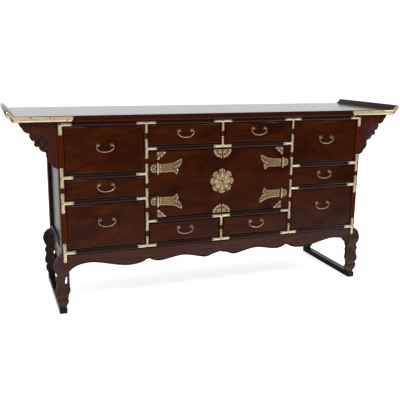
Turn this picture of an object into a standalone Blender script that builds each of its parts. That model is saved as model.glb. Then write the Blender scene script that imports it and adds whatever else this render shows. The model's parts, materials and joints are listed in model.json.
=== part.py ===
"""Long altar-style sideboard: ten drawers, a pair of doors, upturned top, carved legs on floor runners.

Metres, +X to the right, +Y to the back, +Z up. The origin is on the floor under the middle of the top.
"""
import math

import bmesh
import bpy
from mathutils import Matrix, Vector

for old in list(bpy.data.objects):
    bpy.data.objects.remove(old)

# Driving sizes of the whole piece
TOP_LENGTH = 1.846
TOP_DEPTH = 0.496
TOP_HEIGHT = 0.855
TOP_THICK = 0.025
CASE_WIDTH = 1.452
FRONT_OVERHANG = 0.020
BACK_OVERHANG = 0.012
GAP = 0.0003

# Frame members
POST_WIDTH = 0.026
POST_DEPTH = 0.046
STILE_WIDTH = 0.021
STILE_X = 0.352
STILE_DEPTH = 0.030
BOARD_THICK = 0.018
RAIL_HEIGHT = 0.024
TOP_RAIL_HEIGHT = 0.022
DIVIDER_WIDTH = 0.023
BACK_THICK = 0.010
BACK_SET = 0.010
SIDE_PANEL_SET = 0.012
SIDE_PANEL_THICK = 0.012

# Spacing of the rails, centre to centre or down from the top
BOTTOM_RAIL_Z = 0.273
TALL_DRAWER_DROP = 0.257
MIDDLE_DRAWER_PITCH = 0.108
SMALL_DRAWER_DROP = 0.149
SMALL_DRAWER_PITCH = 0.111

# Drawers and doors
RECESS = 0.003
FRONT_THICK = 0.020
FRONT_GAP = 0.0020
DRAWER_BACK_GAP = 0.0385
DRAWER_WALL = 0.010
DRAWER_SIDE_GAP = 0.003
DRAWER_FLOOR = 0.008
DRAWER_RISE = 0.0008
DRAWER_HEADROOM = 0.014
JAMB_WIDTH = 0.033
DOOR_GAP = 0.0013
HANDLE_RISE = 0.020
LOW_HANDLE_RISE = 0.026
HANDLE_SPAN = 0.059
HANDLE_DROP = 0.031
HANDLE_OUT = 0.0090
ROD = 0.0019
HOLE = 0.0023

# Brass plates
PLATE = 0.0014
STRAP_WIDTH = 0.0175
STRAP_LENGTH = 0.086
STRAP_ARM = 0.044
EDGE_STRAP = 0.0010
EDGE_STRAP_LENGTH = 0.270
EDGE_STRAP_SLANT = 0.0135
END_RISE = 0.022

# Hinges
PIN_IN = 0.0035
PIN_CLEAR = 0.0006
KNUCKLE = 0.0050
HINGE_PLACE = 0.2534

# Base
RUNNER_HEIGHT = 0.027
RUNNER_WIDTH = 0.033
RUNNER_OUT = 0.019
LEG_WING = 0.100
LOBE_THICK = 0.016
LEG_BOARD = 0.026
SIDE_BOARD_IN = 0.010
SIDE_BOARD_OUT = 0.002
KNEE_OUT = 0.037
APRON_DROP = 0.0735

# Places that follow from the sizes above
FRONT = -TOP_DEPTH / 2 + FRONT_OVERHANG
BACK = TOP_DEPTH / 2 - BACK_OVERHANG
TOP_UNDER = TOP_HEIGHT - TOP_THICK
POST_OUT = CASE_WIDTH / 2
POST_IN = POST_OUT - POST_WIDTH
HALF_RAIL = RAIL_HEIGHT / 2
SIDE_UPPER_Z = TOP_HEIGHT - TALL_DRAWER_DROP
SIDE_LOWER_Z = SIDE_UPPER_Z - MIDDLE_DRAWER_PITCH
CENTRE_UPPER_Z = TOP_HEIGHT - SMALL_DRAWER_DROP
CENTRE_LOWER_Z = BOTTOM_RAIL_Z + SMALL_DRAWER_PITCH
CASE_FLOOR = BOTTOM_RAIL_Z + HALF_RAIL
CASE_UNDER = BOTTOM_RAIL_Z - HALF_RAIL
CASE_CEILING = TOP_UNDER - TOP_RAIL_HEIGHT
STILE_OUT = STILE_X + STILE_WIDTH / 2
STILE_IN = STILE_X - STILE_WIDTH / 2
JAMB_IN = STILE_IN - JAMB_WIDTH
DOOR_EDGE = JAMB_IN - DOOR_GAP
FACE = FRONT + RECESS
INSIDE_BACK = BACK - BACK_SET - BACK_THICK - 0.0025
DRAWER_LENGTH = INSIDE_BACK - DRAWER_BACK_GAP - FACE
PIN_X = DOOR_EDGE - PIN_IN
PIN_Y = FACE - KNUCKLE - PIN_CLEAR
FOOT_Z = RUNNER_HEIGHT + GAP
LEG_TOP = CASE_UNDER - GAP


def finish(name, colour, metallic, roughness):
    made = bpy.data.materials.new(name)
    made.use_nodes = True
    shader = made.node_tree.nodes["Principled BSDF"]
    shader.inputs["Base Color"].default_value = (*colour, 1.0)
    shader.inputs["Metallic"].default_value = metallic
    shader.inputs["Roughness"].default_value = roughness
    return made


FRAME_WOOD = (0.072, 0.020, 0.012)
FIGURED_WOOD = (0.062, 0.019, 0.008)
INNER_WOOD = (0.300, 0.190, 0.100)
BRASS = (0.520, 0.420, 0.230)


def wood(name, colour=FRAME_WOOD):
    return finish(name + "_finish", colour, 0.0, 0.3)


def brass(name):
    return finish(name + "_finish", BRASS, 1.0, 0.32)


def place(name, bm, material=None, at=(0, 0, 0), helper=False):
    """An object of this mesh, with its own origin at the point given."""
    bmesh.ops.recalc_face_normals(bm, faces=bm.faces)
    mesh = bpy.data.meshes.new(name)
    bm.to_mesh(mesh)
    bm.free()
    mesh.transform(Matrix.Translation(-Vector(at)))
    made = bpy.data.objects.new(name, mesh)
    made.location = at
    bpy.context.scene.collection.objects.link(made)
    if helper:
        made.hide_render = True
        made.display_type = "WIRE"
    else:
        mesh.materials.append(material)
    return made


def prism(outline, along, low, high, into=None):
    """An outline in the two other axes, extruded along X, Y or Z."""
    bm = into or bmesh.new()
    corner = {
        "X": lambda a, b: (low, a, b),
        "Y": lambda a, b: (a, low, b),
        "Z": lambda a, b: (a, b, low),
    }[along]
    face = bm.faces.new([bm.verts.new(corner(a, b)) for a, b in outline])
    grown = bmesh.ops.extrude_face_region(bm, geom=[face])
    step = Vector([(high - low) * (axis == along) for axis in "XYZ"])
    moved = [v for v in grown["geom"] if isinstance(v, bmesh.types.BMVert)]
    bmesh.ops.translate(bm, vec=step, verts=moved)
    return bm


def block(x, y, z, into=None):
    return prism([(x[0], z[0]), (x[1], z[0]), (x[1], z[1]), (x[0], z[1])], "Y", y[0], y[1], into)


def soft_block(x, y, z, edge):
    """A board with its long front and back edges eased, extruded along X."""
    (a, b), (c, d) = y, z
    outline = [(a + edge, c), (b, c), (b, d), (a + edge, d), (a, d - edge), (a, c + edge)]
    return prism(outline, "X", x[0], x[1])


def lathe(profile, axis, centre, steps=12, into=None):
    """A closed turning: profile points are (radius, distance along the axis)."""
    bm = into or bmesh.new()
    rings = []
    for radius, along in profile:
        ring = []
        count = 1 if radius < 1e-9 else steps
        for k in range(count):
            turn = 2 * math.pi * (k + 0.5) / steps
            a, b = radius * math.cos(turn), radius * math.sin(turn)
            spot = {"X": (along, a, b), "Y": (a, along, b), "Z": (a, b, along)}[axis]
            ring.append(bm.verts.new(Vector(centre) + Vector(spot)))
        rings.append(ring)
    closed_ring = len(rings[0]) > 1
    pairs = list(zip(rings, rings[1:]))
    if closed_ring:
        pairs.append((rings[-1], rings[0]))
    for low, high in pairs:
        for k in range(steps):
            n = (k + 1) % steps
            corners = [low[k % len(low)], low[n % len(low)], high[n % len(high)], high[k % len(high)]]
            unique = list(dict.fromkeys(corners))
            if len(unique) > 2:
                bm.faces.new(unique)
    return bm


def boolean(target, tool, operation):
    change = target.modifiers.new(tool.name, "BOOLEAN")
    change.operation = operation
    change.solver = "EXACT"
    change.use_self = operation == "UNION"
    change.object = tool


def fuse(target, bm, name):
    boolean(target, place(target.name + "_" + name, bm, helper=True), "UNION")


def cut(target, bm, name):
    boolean(target, place(target.name + "_" + name, bm, helper=True), "DIFFERENCE")


def mirrored(outline, side):
    return [(side * a, b) for a, b in outline]


def mm(*points):
    return [(a / 1000, b / 1000) for a, b in points]


# Table top, one board with an upturned rolled end on each side; each point is the distance in from the tip
# in metres, and the height above the top as a share of the rise or, below it, of the thickness
END_PROFILE = (
    (0.029, -1.0), (0.024, -0.86), (0.019, -0.50), (0.015, -0.31), (0.0095, -0.24), (0.003, 0.05), (0, 0.48),
    (0.003, 0.82), (0.010, 1.0), (0.016, 0.90), (0.022, 0.64), (0.036, 0),
)
TIP = TOP_LENGTH / 2


def end_height(share):
    return share * (END_RISE if share > 0 else TOP_THICK)


right_end = [(TIP - a, TOP_HEIGHT + end_height(share)) for a, share in END_PROFILE]
left_end = [(-a, b) for a, b in reversed(right_end)]
WOOD_EDGE = -TOP_DEPTH / 2 + EDGE_STRAP
table_top = place(
    "table_top", prism(right_end + left_end, "Y", WOOD_EDGE, TOP_DEPTH / 2), wood("table_top")
)
groove = block(
    (-TIP + EDGE_STRAP_LENGTH + 0.012, TIP - EDGE_STRAP_LENGTH - 0.012),
    (WOOD_EDGE - 0.01, WOOD_EDGE + 0.0025),
    (TOP_UNDER + 0.0055, TOP_UNDER + 0.0080),
)
cut(table_top, groove, "bead_line")
INSET = 0.0006
lowest, highest = -TOP_THICK + INSET, END_RISE - INSET
strap_end = []
for a, share in END_PROFILE[:-1]:
    height = max(min(end_height(share), highest), lowest)
    strap_end.append((TIP - a * 0.975 - 0.0008, TOP_HEIGHT + height))
inner_top = (TIP - EDGE_STRAP_LENGTH, TOP_HEIGHT - INSET)
inner_low = (TIP - EDGE_STRAP_LENGTH + EDGE_STRAP_SLANT, TOP_UNDER + INSET)
for side, word in ((-1, "left"), (1, "right")):
    outline = strap_end + [(TIP - END_PROFILE[-1][0], TOP_HEIGHT - INSET), inner_top, inner_low]
    plate = prism(mirrored(outline, side), "Y", -TOP_DEPTH / 2, WOOD_EDGE + 0.0006)
    fuse(table_top, plate, word + "_edge_strap")

# Corner posts that run down into carved legs; the front and side outlines are sawn out of one block.
# In plan a leg is an L: a front board with the lobes and a side board with the scroll.
# Their heights are drawn on a leg of the heights given here, and stretched to the real one.
DRAWN_FOOT, DRAWN_TOP = 0.0273, 0.2607
FOOT_BLOCK = 0.050
LEG_FRONT = mm(
    (0, 290), (3, 262), (17, 256), (30, 240), (36, 218), (33, 197), (26, 182), (21, 174), (28, 163),
    (30, 150), (24, 138), (26, 126), (31, 110), (31, 92), (20, 82), (28, 70), (26, 52), (16, 36), (12, 30),
    (12, 27.3), (-13, 27.3), (-13, 34), (-20, 46), (-23, 58), (-20, 66), (-24, 76), (-22, 84), (-30, 98),
    (-32, 106), (-29, 120),
)
LEG_SIDE = mm(
    (0, 290), (0, 262), (0, 229), (-3, 219), (-5, 204), (-3, 186), (0, 165), (1, 140), (-1, 110), (-2, 84),
    (1, 74), (-1, 56), (2, 38), (3, 27.3), (40, 27.3), (42, 40), (46, 54), (43, 66), (48, 78), (50, 94),
    (45, 106), (52, 120), (57, 138), (52, 150), (60, 160), (64, 176), (60, 188), (72, 194), (84, 206),
    (80, 216), (92, 222), (99, 236),
)
LEG_SLOT = mm((-15, 171), (-9.5, 150), (-10.5, 131), (-15, 126), (-19, 133), (-20, 162))
STRAND = 0.029
APRON_LOW = CASE_UNDER - APRON_DROP


def leg_height(drawn):
    return FOOT_Z + (drawn - DRAWN_FOOT) / (DRAWN_TOP - DRAWN_FOOT) * (LEG_TOP - FOOT_Z)


def leg(name, side, front):
    inner_edge = [
        (-STRAND, APRON_LOW - 0.002), (-POST_WIDTH, APRON_LOW - 0.001), (-POST_WIDTH, leg_height(0.290)),
    ]
    outline = [(side * (POST_OUT + a), leg_height(b)) for a, b in LEG_FRONT]
    outline += [(side * (POST_OUT + a), z) for a, z in inner_edge]
    edge, turn = (FRONT, 1) if front else (BACK, -1)
    depth = [(edge + turn * a, leg_height(b)) for a, b in LEG_SIDE]
    depth += [(edge + turn * LEG_WING, LEG_TOP), (edge + turn * POST_DEPTH, LEG_TOP)]
    depth.append((edge + turn * POST_DEPTH, leg_height(0.290)))
    made = place(name, prism(outline, "Y", edge - turn * 0.03, edge + turn * 0.13), wood(name))
    profile = prism(depth, "X", side * (POST_IN - 0.05), side * (POST_OUT + 0.06))
    boolean(made, place(name + "_side_profile", profile, helper=True), "INTERSECT")
    past = LEG_WING + SIDE_BOARD_OUT
    outer = [
        (SIDE_BOARD_OUT, past), (KNEE_OUT * 2, past), (KNEE_OUT * 2, LOBE_THICK), (KNEE_OUT, LOBE_THICK),
        (SIDE_BOARD_OUT, LOBE_THICK * 2),
    ]
    inner = [
        (-SIDE_BOARD_IN, past), (-SIDE_BOARD_IN, LEG_BOARD), (-POST_WIDTH * 2, LEG_BOARD),
        (-POST_WIDTH * 2, past),
    ]
    for label, hollow, high in (("outer", outer, CASE_UNDER), ("inner", inner, APRON_LOW - 0.004)):
        plan = [(side * (POST_OUT + a), edge + turn * b) for a, b in hollow]
        cut(made, prism(plan, "Z", leg_height(FOOT_BLOCK), high), label + "_hollow")
    post_y = sorted((edge, edge + turn * POST_DEPTH))
    post_x = sorted((side * POST_IN, side * POST_OUT))
    fuse(made, block(post_x, post_y, (CASE_UNDER + 0.009, TOP_UNDER - GAP)), "post")
    slot = [(side * (POST_OUT + a), leg_height(b)) for a, b in LEG_SLOT]
    cut(made, prism(slot, "Y", edge - turn * 0.05, edge + turn * 0.15), "slot")
    return made


def bar(x, z, half_width, half_length, upright):
    """A plate outline with blunt pointed ends."""
    n = half_width * 0.45
    long_way = [
        (half_width, -half_length + n), (half_width, half_length - n), (n, half_length),
        (-n, half_length), (-half_width, half_length - n), (-half_width, -half_length + n),
        (-n, -half_length), (n, -half_length),
    ]
    return [(x + a, z + b) if upright else (x + b, z + a) for a, b in long_way]


HALF_STRAP = STRAP_WIDTH / 2
PLATE_FRONT = FRONT - GAP - PLATE
ROOT = (PLATE_FRONT, FRONT + 0.001)
FLOAT = (PLATE_FRONT + 0.0002, FRONT - GAP)


def tee(stems, arms, x, z, arm_side):
    """A joint strap: the upright on its own member, an arm over the rail beside it."""
    prism(bar(x, z, HALF_STRAP, STRAP_LENGTH / 2, True), "Y", *ROOT, into=stems)
    reach = STRAP_ARM + 0.004
    arm_x = x + arm_side * (reach / 2 + 0.002)
    prism(bar(arm_x, z, HALF_STRAP * 0.9, reach / 2, False), "Y", *FLOAT, into=arms)


def end_tee(stems, arms, x, rail_z, member_end, up):
    """A strap at the end of a member: the stem runs along it and the bar lies over the rail it meets."""
    way = 1 if up else -1
    reach = STRAP_ARM + 0.002
    low, high = sorted((member_end + way * 0.001, rail_z + way * reach))
    prism(bar(x, (low + high) / 2, HALF_STRAP, (high - low) / 2, True), "Y", *ROOT, into=stems)
    foot = [
        (-HALF_STRAP * 0.8, way * 0.0150), (-HALF_STRAP * 0.8, way * HALF_STRAP * 0.9),
        (-STRAP_ARM + 0.003, way * HALF_STRAP * 0.9), (-STRAP_ARM, way * HALF_STRAP * 0.4),
        (-STRAP_ARM, -way * HALF_STRAP * 0.4), (-STRAP_ARM + 0.003, -way * HALF_STRAP * 0.9),
        (STRAP_ARM - 0.003, -way * HALF_STRAP * 0.9), (STRAP_ARM, -way * HALF_STRAP * 0.4),
        (STRAP_ARM, way * HALF_STRAP * 0.4), (STRAP_ARM - 0.003, way * HALF_STRAP * 0.9),
        (HALF_STRAP * 0.8, way * HALF_STRAP * 0.9), (HALF_STRAP * 0.8, way * 0.0150),
    ]
    prism([(x + a, rail_z + b) for a, b in foot], "Y", *FLOAT, into=arms)


TOP_RAIL_Z = CASE_CEILING + TOP_RAIL_HEIGHT / 2
for side, word in ((-1, "left"), (1, "right")):
    front_leg = leg("front_" + word + "_leg", side, True)
    stems, arms = bmesh.new(), bmesh.new()
    post_x = side * (POST_OUT - POST_WIDTH / 2)
    for z in (SIDE_UPPER_Z, SIDE_LOWER_Z, BOTTOM_RAIL_Z):
        tee(stems, arms, post_x, z, -side)
    drop = STRAP_ARM + HALF_STRAP
    corner_z = TOP_RAIL_Z + HALF_STRAP - drop / 2
    prism(bar(post_x, corner_z, HALF_STRAP, drop / 2, True), "Y", *ROOT, into=stems)
    half_arm = STRAP_ARM / 2 + 0.002
    corner_arm = bar(post_x - side * half_arm, TOP_RAIL_Z, HALF_STRAP * 0.9, half_arm, False)
    prism(corner_arm, "Y", *FLOAT, into=arms)
    fuse(front_leg, stems, "straps")
    fuse(front_leg, arms, "strap_arms")
    leg("rear_" + word + "_leg", side, False)

    # Floor runner that joins the two feet of one side
    run_x = sorted((side * (POST_OUT + RUNNER_OUT), side * (POST_OUT + RUNNER_OUT - RUNNER_WIDTH)))
    runner = soft_block((FRONT + 0.001, BACK - 0.001), (-run_x[1], -run_x[0]), (0, RUNNER_HEIGHT), 0.003)
    bmesh.ops.rotate(runner, cent=(0, 0, 0), matrix=Matrix.Rotation(math.pi / 2, 3, "Z"), verts=runner.verts)
    place(word + "_runner", runner, wood(word + "_runner"))

    # Carved bracket under the overhanging end of the top
    BRACKET = mm(
        (146, -0.3), (146, -6), (142, -16), (133, -27), (129, -36), (120, -43), (106, -46), (108, -59),
        (100, -74), (88, -78), (91, -93), (84, -101), (73, -100), (70, -111), (60, -120), (45, -125),
        (45, -139), (41, -157), (27, -171), (18, -186), (5, -193), (0.3, -193), (0.3, -0.3),
    )
    outline = [(side * (POST_OUT + a), TOP_UNDER + b) for a, b in BRACKET]
    bracket = place(
        word + "_bracket", prism(outline, "Y", FRONT + 0.004, FRONT + 0.022), wood(word + "_bracket")
    )
    CARVED = mm(
        (120, -50), (104, -45.5), (69, -49), (45, -61), (35, -83), (35, -103), (39, -124), (40, -140),
        (75, -140), (120, -110),
    )
    sunk = [(side * (POST_OUT + a), TOP_UNDER + b) for a, b in CARVED]
    cut(bracket, prism(sunk, "Y", FRONT - 0.01, FRONT + 0.009), "carved_bed")

    # Side of the case: sunk panel between rails, with a shaped apron under it
    side_y = (FRONT + POST_DEPTH + GAP, BACK - POST_DEPTH - GAP)
    inner = POST_IN + GAP
    sunk_out = POST_OUT - SIDE_PANEL_SET
    sunk_in = sunk_out - SIDE_PANEL_THICK
    section = [
        (inner, CASE_UNDER), (POST_OUT, CASE_UNDER), (POST_OUT, CASE_FLOOR), (sunk_out, CASE_FLOOR + 0.004),
        (sunk_out, CASE_CEILING - 0.004), (POST_OUT, CASE_CEILING), (POST_OUT, TOP_UNDER - GAP),
        (inner, TOP_UNDER - GAP), (inner, CASE_CEILING), (sunk_in, CASE_CEILING), (sunk_in, CASE_FLOOR),
        (inner, CASE_FLOOR),
    ]
    panel = place(
        word + "_side_panel", prism(mirrored(section, side), "Y", *side_y), wood(word + "_side_panel")
    )
    near, far = FRONT + LEG_WING + GAP, BACK - LEG_WING - GAP
    span = far - near
    lower = [(0, 0), (0, -70), (0.05, -80), (0.14, -76), (0.30, -60), (0.42, -65), (0.5, -55)]
    scallop = [(near + span * a, CASE_UNDER + b / 1000) for a, b in lower]
    scallop += [(near + span * (1 - a), CASE_UNDER + b / 1000) for a, b in reversed(lower[:-1])]
    scallop = [(scallop[0][0], CASE_UNDER + 0.006)] + scallop[1:-1] + [(scallop[-1][0], CASE_UNDER + 0.006)]
    apron_x = sorted((side * (POST_OUT - 0.003), side * (POST_OUT - 0.021)))
    fuse(panel, prism(scallop, "X", *apron_x), "apron")

# Boards of the case
span_in = POST_IN - GAP
place(
    "top_rail",
    soft_block((-span_in, span_in), (FRONT, FRONT + STILE_DEPTH), (CASE_CEILING, TOP_UNDER - GAP), 0.002),
    wood("top_rail"),
)
place(
    "bottom_board",
    soft_block((-span_in, span_in), (FRONT, INSIDE_BACK), (CASE_UNDER + GAP, CASE_FLOOR), 0.003),
    wood("bottom_board"),
)
place(
    "back_panel",
    block(
        (-span_in, span_in),
        (BACK - BACK_SET - BACK_THICK, BACK - BACK_SET),
        (CASE_UNDER + GAP, TOP_UNDER - GAP),
    ),
    wood("back_panel", INNER_WOOD),
)
shelf_spans = {
    "left": (-span_in, -STILE_OUT - GAP),
    "centre": (-STILE_IN + GAP, STILE_IN - GAP),
    "right": (STILE_OUT + GAP, span_in),
}
for word, z in (
    ("left_upper", SIDE_UPPER_Z), ("left_lower", SIDE_LOWER_Z), ("right_upper", SIDE_UPPER_Z),
    ("right_lower", SIDE_LOWER_Z), ("centre_upper", CENTRE_UPPER_Z), ("centre_lower", CENTRE_LOWER_Z),
):
    span = shelf_spans[word.split("_")[0]]
    board = soft_block(span, (FRONT, INSIDE_BACK), (z - HALF_RAIL, z + HALF_RAIL), 0.004)
    place(word + "_shelf", board, wood(word + "_shelf"))

# Partitions: the stile is the front edge, and the door jamb stands against its inner side
MEMBER_LOW, MEMBER_HIGH = CASE_FLOOR + GAP, CASE_CEILING - GAP
DOOR_LOW, DOOR_HIGH = CENTRE_LOWER_Z + HALF_RAIL, CENTRE_UPPER_Z - HALF_RAIL
for side, word in ((-1, "left"), (1, "right")):
    thick = BOARD_THICK / 2
    plan = [
        (STILE_X - STILE_WIDTH / 2, FRONT + 0.003), (STILE_X - STILE_WIDTH / 2 + 0.003, FRONT),
        (STILE_X + STILE_WIDTH / 2 - 0.003, FRONT), (STILE_X + STILE_WIDTH / 2, FRONT + 0.003),
        (STILE_X + STILE_WIDTH / 2, FRONT + STILE_DEPTH), (STILE_X + thick, FRONT + STILE_DEPTH),
        (STILE_X + thick, INSIDE_BACK), (STILE_X - thick, INSIDE_BACK),
        (STILE_X - thick, FRONT + STILE_DEPTH), (STILE_X - STILE_WIDTH / 2, FRONT + STILE_DEPTH),
    ]
    name = word + "_partition"
    partition = place(name, prism(mirrored(plan, side), "Z", MEMBER_LOW, MEMBER_HIGH), wood(name))
    jamb_x = sorted((side * JAMB_IN, side * (STILE_IN + 0.004)))
    jamb = block(jamb_x, (FACE, FRONT + STILE_DEPTH - 0.002), (DOOR_LOW + GAP, DOOR_HIGH - GAP))
    fuse(partition, jamb, "jamb")
    stems, arms = bmesh.new(), bmesh.new()
    x = side * STILE_X
    for z, way in (
        (CENTRE_UPPER_Z, -side), (SIDE_UPPER_Z, side), (SIDE_LOWER_Z, side), (CENTRE_LOWER_Z, -side),
    ):
        tee(stems, arms, x, z, way)
    end_tee(stems, arms, x, TOP_RAIL_Z, MEMBER_HIGH, False)
    end_tee(stems, arms, x, BOTTOM_RAIL_Z, MEMBER_LOW, True)
    fuse(partition, stems, "straps")
    fuse(partition, arms, "strap_arms")

# Short dividers between the small centre drawers
for word, low, high, low_rail, high_rail in (
    ("upper", CENTRE_UPPER_Z + HALF_RAIL + GAP, MEMBER_HIGH, CENTRE_UPPER_Z, TOP_RAIL_Z),
    ("lower", MEMBER_LOW, CENTRE_LOWER_Z - HALF_RAIL - GAP, BOTTOM_RAIL_Z, CENTRE_LOWER_Z),
):
    half = DIVIDER_WIDTH / 2
    plan = [
        (-half, FRONT + 0.003), (-half + 0.003, FRONT), (half - 0.003, FRONT), (half, FRONT + 0.003),
        (half, FRONT + STILE_DEPTH), (half - 0.003, FRONT + STILE_DEPTH), (half - 0.003, INSIDE_BACK),
        (-half + 0.003, INSIDE_BACK), (-half + 0.003, FRONT + STILE_DEPTH), (-half, FRONT + STILE_DEPTH),
    ]
    name = word + "_divider"
    divider = place(name, prism(plan, "Z", low, high), wood(name))
    stems, arms = bmesh.new(), bmesh.new()
    end_tee(stems, arms, 0.0, low_rail, low, True)
    end_tee(stems, arms, 0.0, high_rail, high, False)
    fuse(divider, stems, "straps")
    fuse(divider, arms, "strap_arms")

# Front apron with its cusped lower outline, as shares of the half length and of the drop at its ends
APRON = [
    (1.0, 1.0), (0.985, 0.86), (0.955, 0.66), (0.915, 0.56), (0.87, 0.52), (0.83, 0.55), (0.76, 0.70),
    (0.69, 0.86), (0.635, 0.94), (0.58, 0.93), (0.53, 0.82), (0.495, 0.61), (0.46, 0.79), (0.425, 0.86),
    (0.38, 0.82), (0.32, 0.70), (0.27, 0.63), (0.22, 0.68), (0.17, 0.79), (0.13, 0.89), (0.10, 0.92),
    (0.075, 0.87), (0.05, 0.76), (0.025, 0.72),
]
right_edge = [(span_in * a, CASE_UNDER - share * APRON_DROP) for a, share in APRON]
outline = [(span_in, CASE_UNDER), *right_edge, (0, CASE_UNDER - 0.65 * APRON_DROP)]
outline += [(-a, b) for a, b in reversed(right_edge)] + [(-span_in, CASE_UNDER)]
place("front_apron", prism(outline, "Y", FRONT + 0.002, FRONT + 0.020), wood("front_apron"))

# Handle posts: a round rosette with a bored stem
POST_PROFILE = [
    (0, 0.0015), (0.0092, 0.0015), (0.0092, -0.0012), (0.0074, -0.0026), (0.0043, -0.0032), (0.0043, -0.0118),
    (0.0026, -0.0134), (0, -0.0136),
]


def handle_curve(name, points, radii, both_ends, smooth=2):
    """A closed rod bent along these points, straight where its ends pass through the posts."""
    curve = bpy.data.curves.new(name, "CURVE")
    curve.dimensions = "3D"
    curve.bevel_depth = 1.0
    curve.bevel_resolution = 1
    curve.use_fill_caps = True
    curve.resolution_u = smooth
    line = curve.splines.new("BEZIER")
    line.bezier_points.add(len(points) - 1)
    for spot, place_at, radius in zip(line.bezier_points, points, radii):
        spot.co = place_at
        spot.radius = radius
        spot.handle_left_type = spot.handle_right_type = "AUTO"
    for index in (0, 1, -1, -2) if both_ends else (0, 1):
        spot = line.bezier_points[index]
        spot.handle_left_type = spot.handle_right_type = "VECTOR"
    bent = bpy.data.objects.new(name, curve)
    bpy.context.scene.collection.objects.link(bent)
    bpy.context.view_layer.update()
    graph = bpy.context.evaluated_depsgraph_get()
    mesh = bpy.data.meshes.new_from_object(bent.evaluated_get(graph))
    bm = bmesh.new()
    bm.from_mesh(mesh)
    bmesh.ops.remove_doubles(bm, verts=bm.verts, dist=1e-6)
    bpy.data.objects.remove(bent)
    return bm


HALF_SPAN = HANDLE_SPAN / 2


def bail(name, at):
    right = [
        (HALF_SPAN - 0.0062, 0), (HALF_SPAN + 0.0050, 0), (HALF_SPAN + 0.0078, -0.0030),
        (HALF_SPAN + 0.0084, -0.0090), (HALF_SPAN + 0.0038, -0.0185), (HALF_SPAN - 0.0095, -0.0275),
    ]
    points = [(-a, 0, b) for a, b in right] + [(0, 0, -HANDLE_DROP)] + [(a, 0, b) for a, b in reversed(right)]
    thin, full = ROD, ROD * 1.3
    half_radii = [thin, thin, thin, thin, ROD * 1.1, full]
    radii = half_radii + [full * 1.06] + half_radii[::-1]
    bm = handle_curve(name, points, radii, True)
    bmesh.ops.translate(bm, vec=Vector(at), verts=bm.verts)
    return place(name, bm, brass(name), at)


def drawer(name, x, z):
    """A drawer in the opening given: a flush front, an open tray behind it and two bored handle posts."""
    (x0, x1), (z0, z1) = x, z
    edge = 0.0025
    fx = (x0 + FRONT_GAP, x1 - FRONT_GAP)
    fz = (z0 + FRONT_GAP, z1 - FRONT_GAP)
    bm = block(fx, (FACE, FACE + FRONT_THICK), fz)
    face_edges = [e for e in bm.edges if all(abs(v.co.y - FACE) < 1e-6 for v in e.verts)]
    bmesh.ops.bevel(bm, geom=face_edges, offset=edge, segments=1, affect="EDGES")
    made = place(name, bm, wood(name, FIGURED_WOOD))
    tray = block(
        (x0 + DRAWER_SIDE_GAP, x1 - DRAWER_SIDE_GAP), (FACE + FRONT_THICK - 0.002, FACE + DRAWER_LENGTH),
        (z0 + DRAWER_RISE, z1 - DRAWER_HEADROOM),
    )
    tray.faces.ensure_lookup_table()
    bmesh.ops.recalc_face_normals(tray, faces=tray.faces)
    top = max(tray.faces, key=lambda f: f.calc_center_median().z)
    bmesh.ops.inset_region(tray, faces=[top], thickness=DRAWER_WALL)
    low = bmesh.ops.extrude_face_region(tray, geom=[top])
    down = Vector((0, 0, z0 + DRAWER_RISE + DRAWER_FLOOR - (z1 - DRAWER_HEADROOM)))
    moved = [v for v in low["geom"] if isinstance(v, bmesh.types.BMVert)]
    bmesh.ops.translate(tray, vec=down, verts=moved)
    bmesh.ops.delete(tray, geom=[top], context="FACES_ONLY")
    fuse(made, tray, "tray")
    rise = LOW_HANDLE_RISE if z1 < SIDE_LOWER_Z else HANDLE_RISE
    cx, cz = (x0 + x1) / 2, (z0 + z1) / 2 + min(rise, (z1 - z0) * 0.19)
    posts = bmesh.new()
    for way in (-1, 1):
        lathe(POST_PROFILE, "Y", (cx + way * HALF_SPAN, FACE, cz), 10, posts)
    fuse(made, posts, "handle_posts")
    pivot = (cx, FACE - HANDLE_OUT, cz)
    bore = lathe([(0, -0.05), (HOLE, -0.05), (HOLE, 0.05), (0, 0.05)], "X", pivot, 12)
    cut(made, bore, "handle_bore")
    bail(name.replace("drawer", "bail"), pivot)


left_bay = (-POST_IN, -STILE_OUT)
right_bay = (STILE_OUT, POST_IN)
tall_top = (SIDE_UPPER_Z + HALF_RAIL, CASE_CEILING)
middle = (SIDE_LOWER_Z + HALF_RAIL, SIDE_UPPER_Z - HALF_RAIL)
tall_low = (CASE_FLOOR, SIDE_LOWER_Z - HALF_RAIL)
for word, bay in (("left", left_bay), ("right", right_bay)):
    drawer(word + "_top_drawer", bay, tall_top)
    drawer(word + "_middle_drawer", bay, middle)
    drawer(word + "_bottom_drawer", bay, tall_low)
half = DIVIDER_WIDTH / 2
small_top = (CENTRE_UPPER_Z + HALF_RAIL, CASE_CEILING)
small_low = (CASE_FLOOR, CENTRE_LOWER_Z - HALF_RAIL)
for word, bay in (("left", (-STILE_IN, -half)), ("right", (half, STILE_IN))):
    drawer("centre_top_" + word + "_drawer", bay, small_top)
    drawer("centre_bottom_" + word + "_drawer", bay, small_low)

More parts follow.
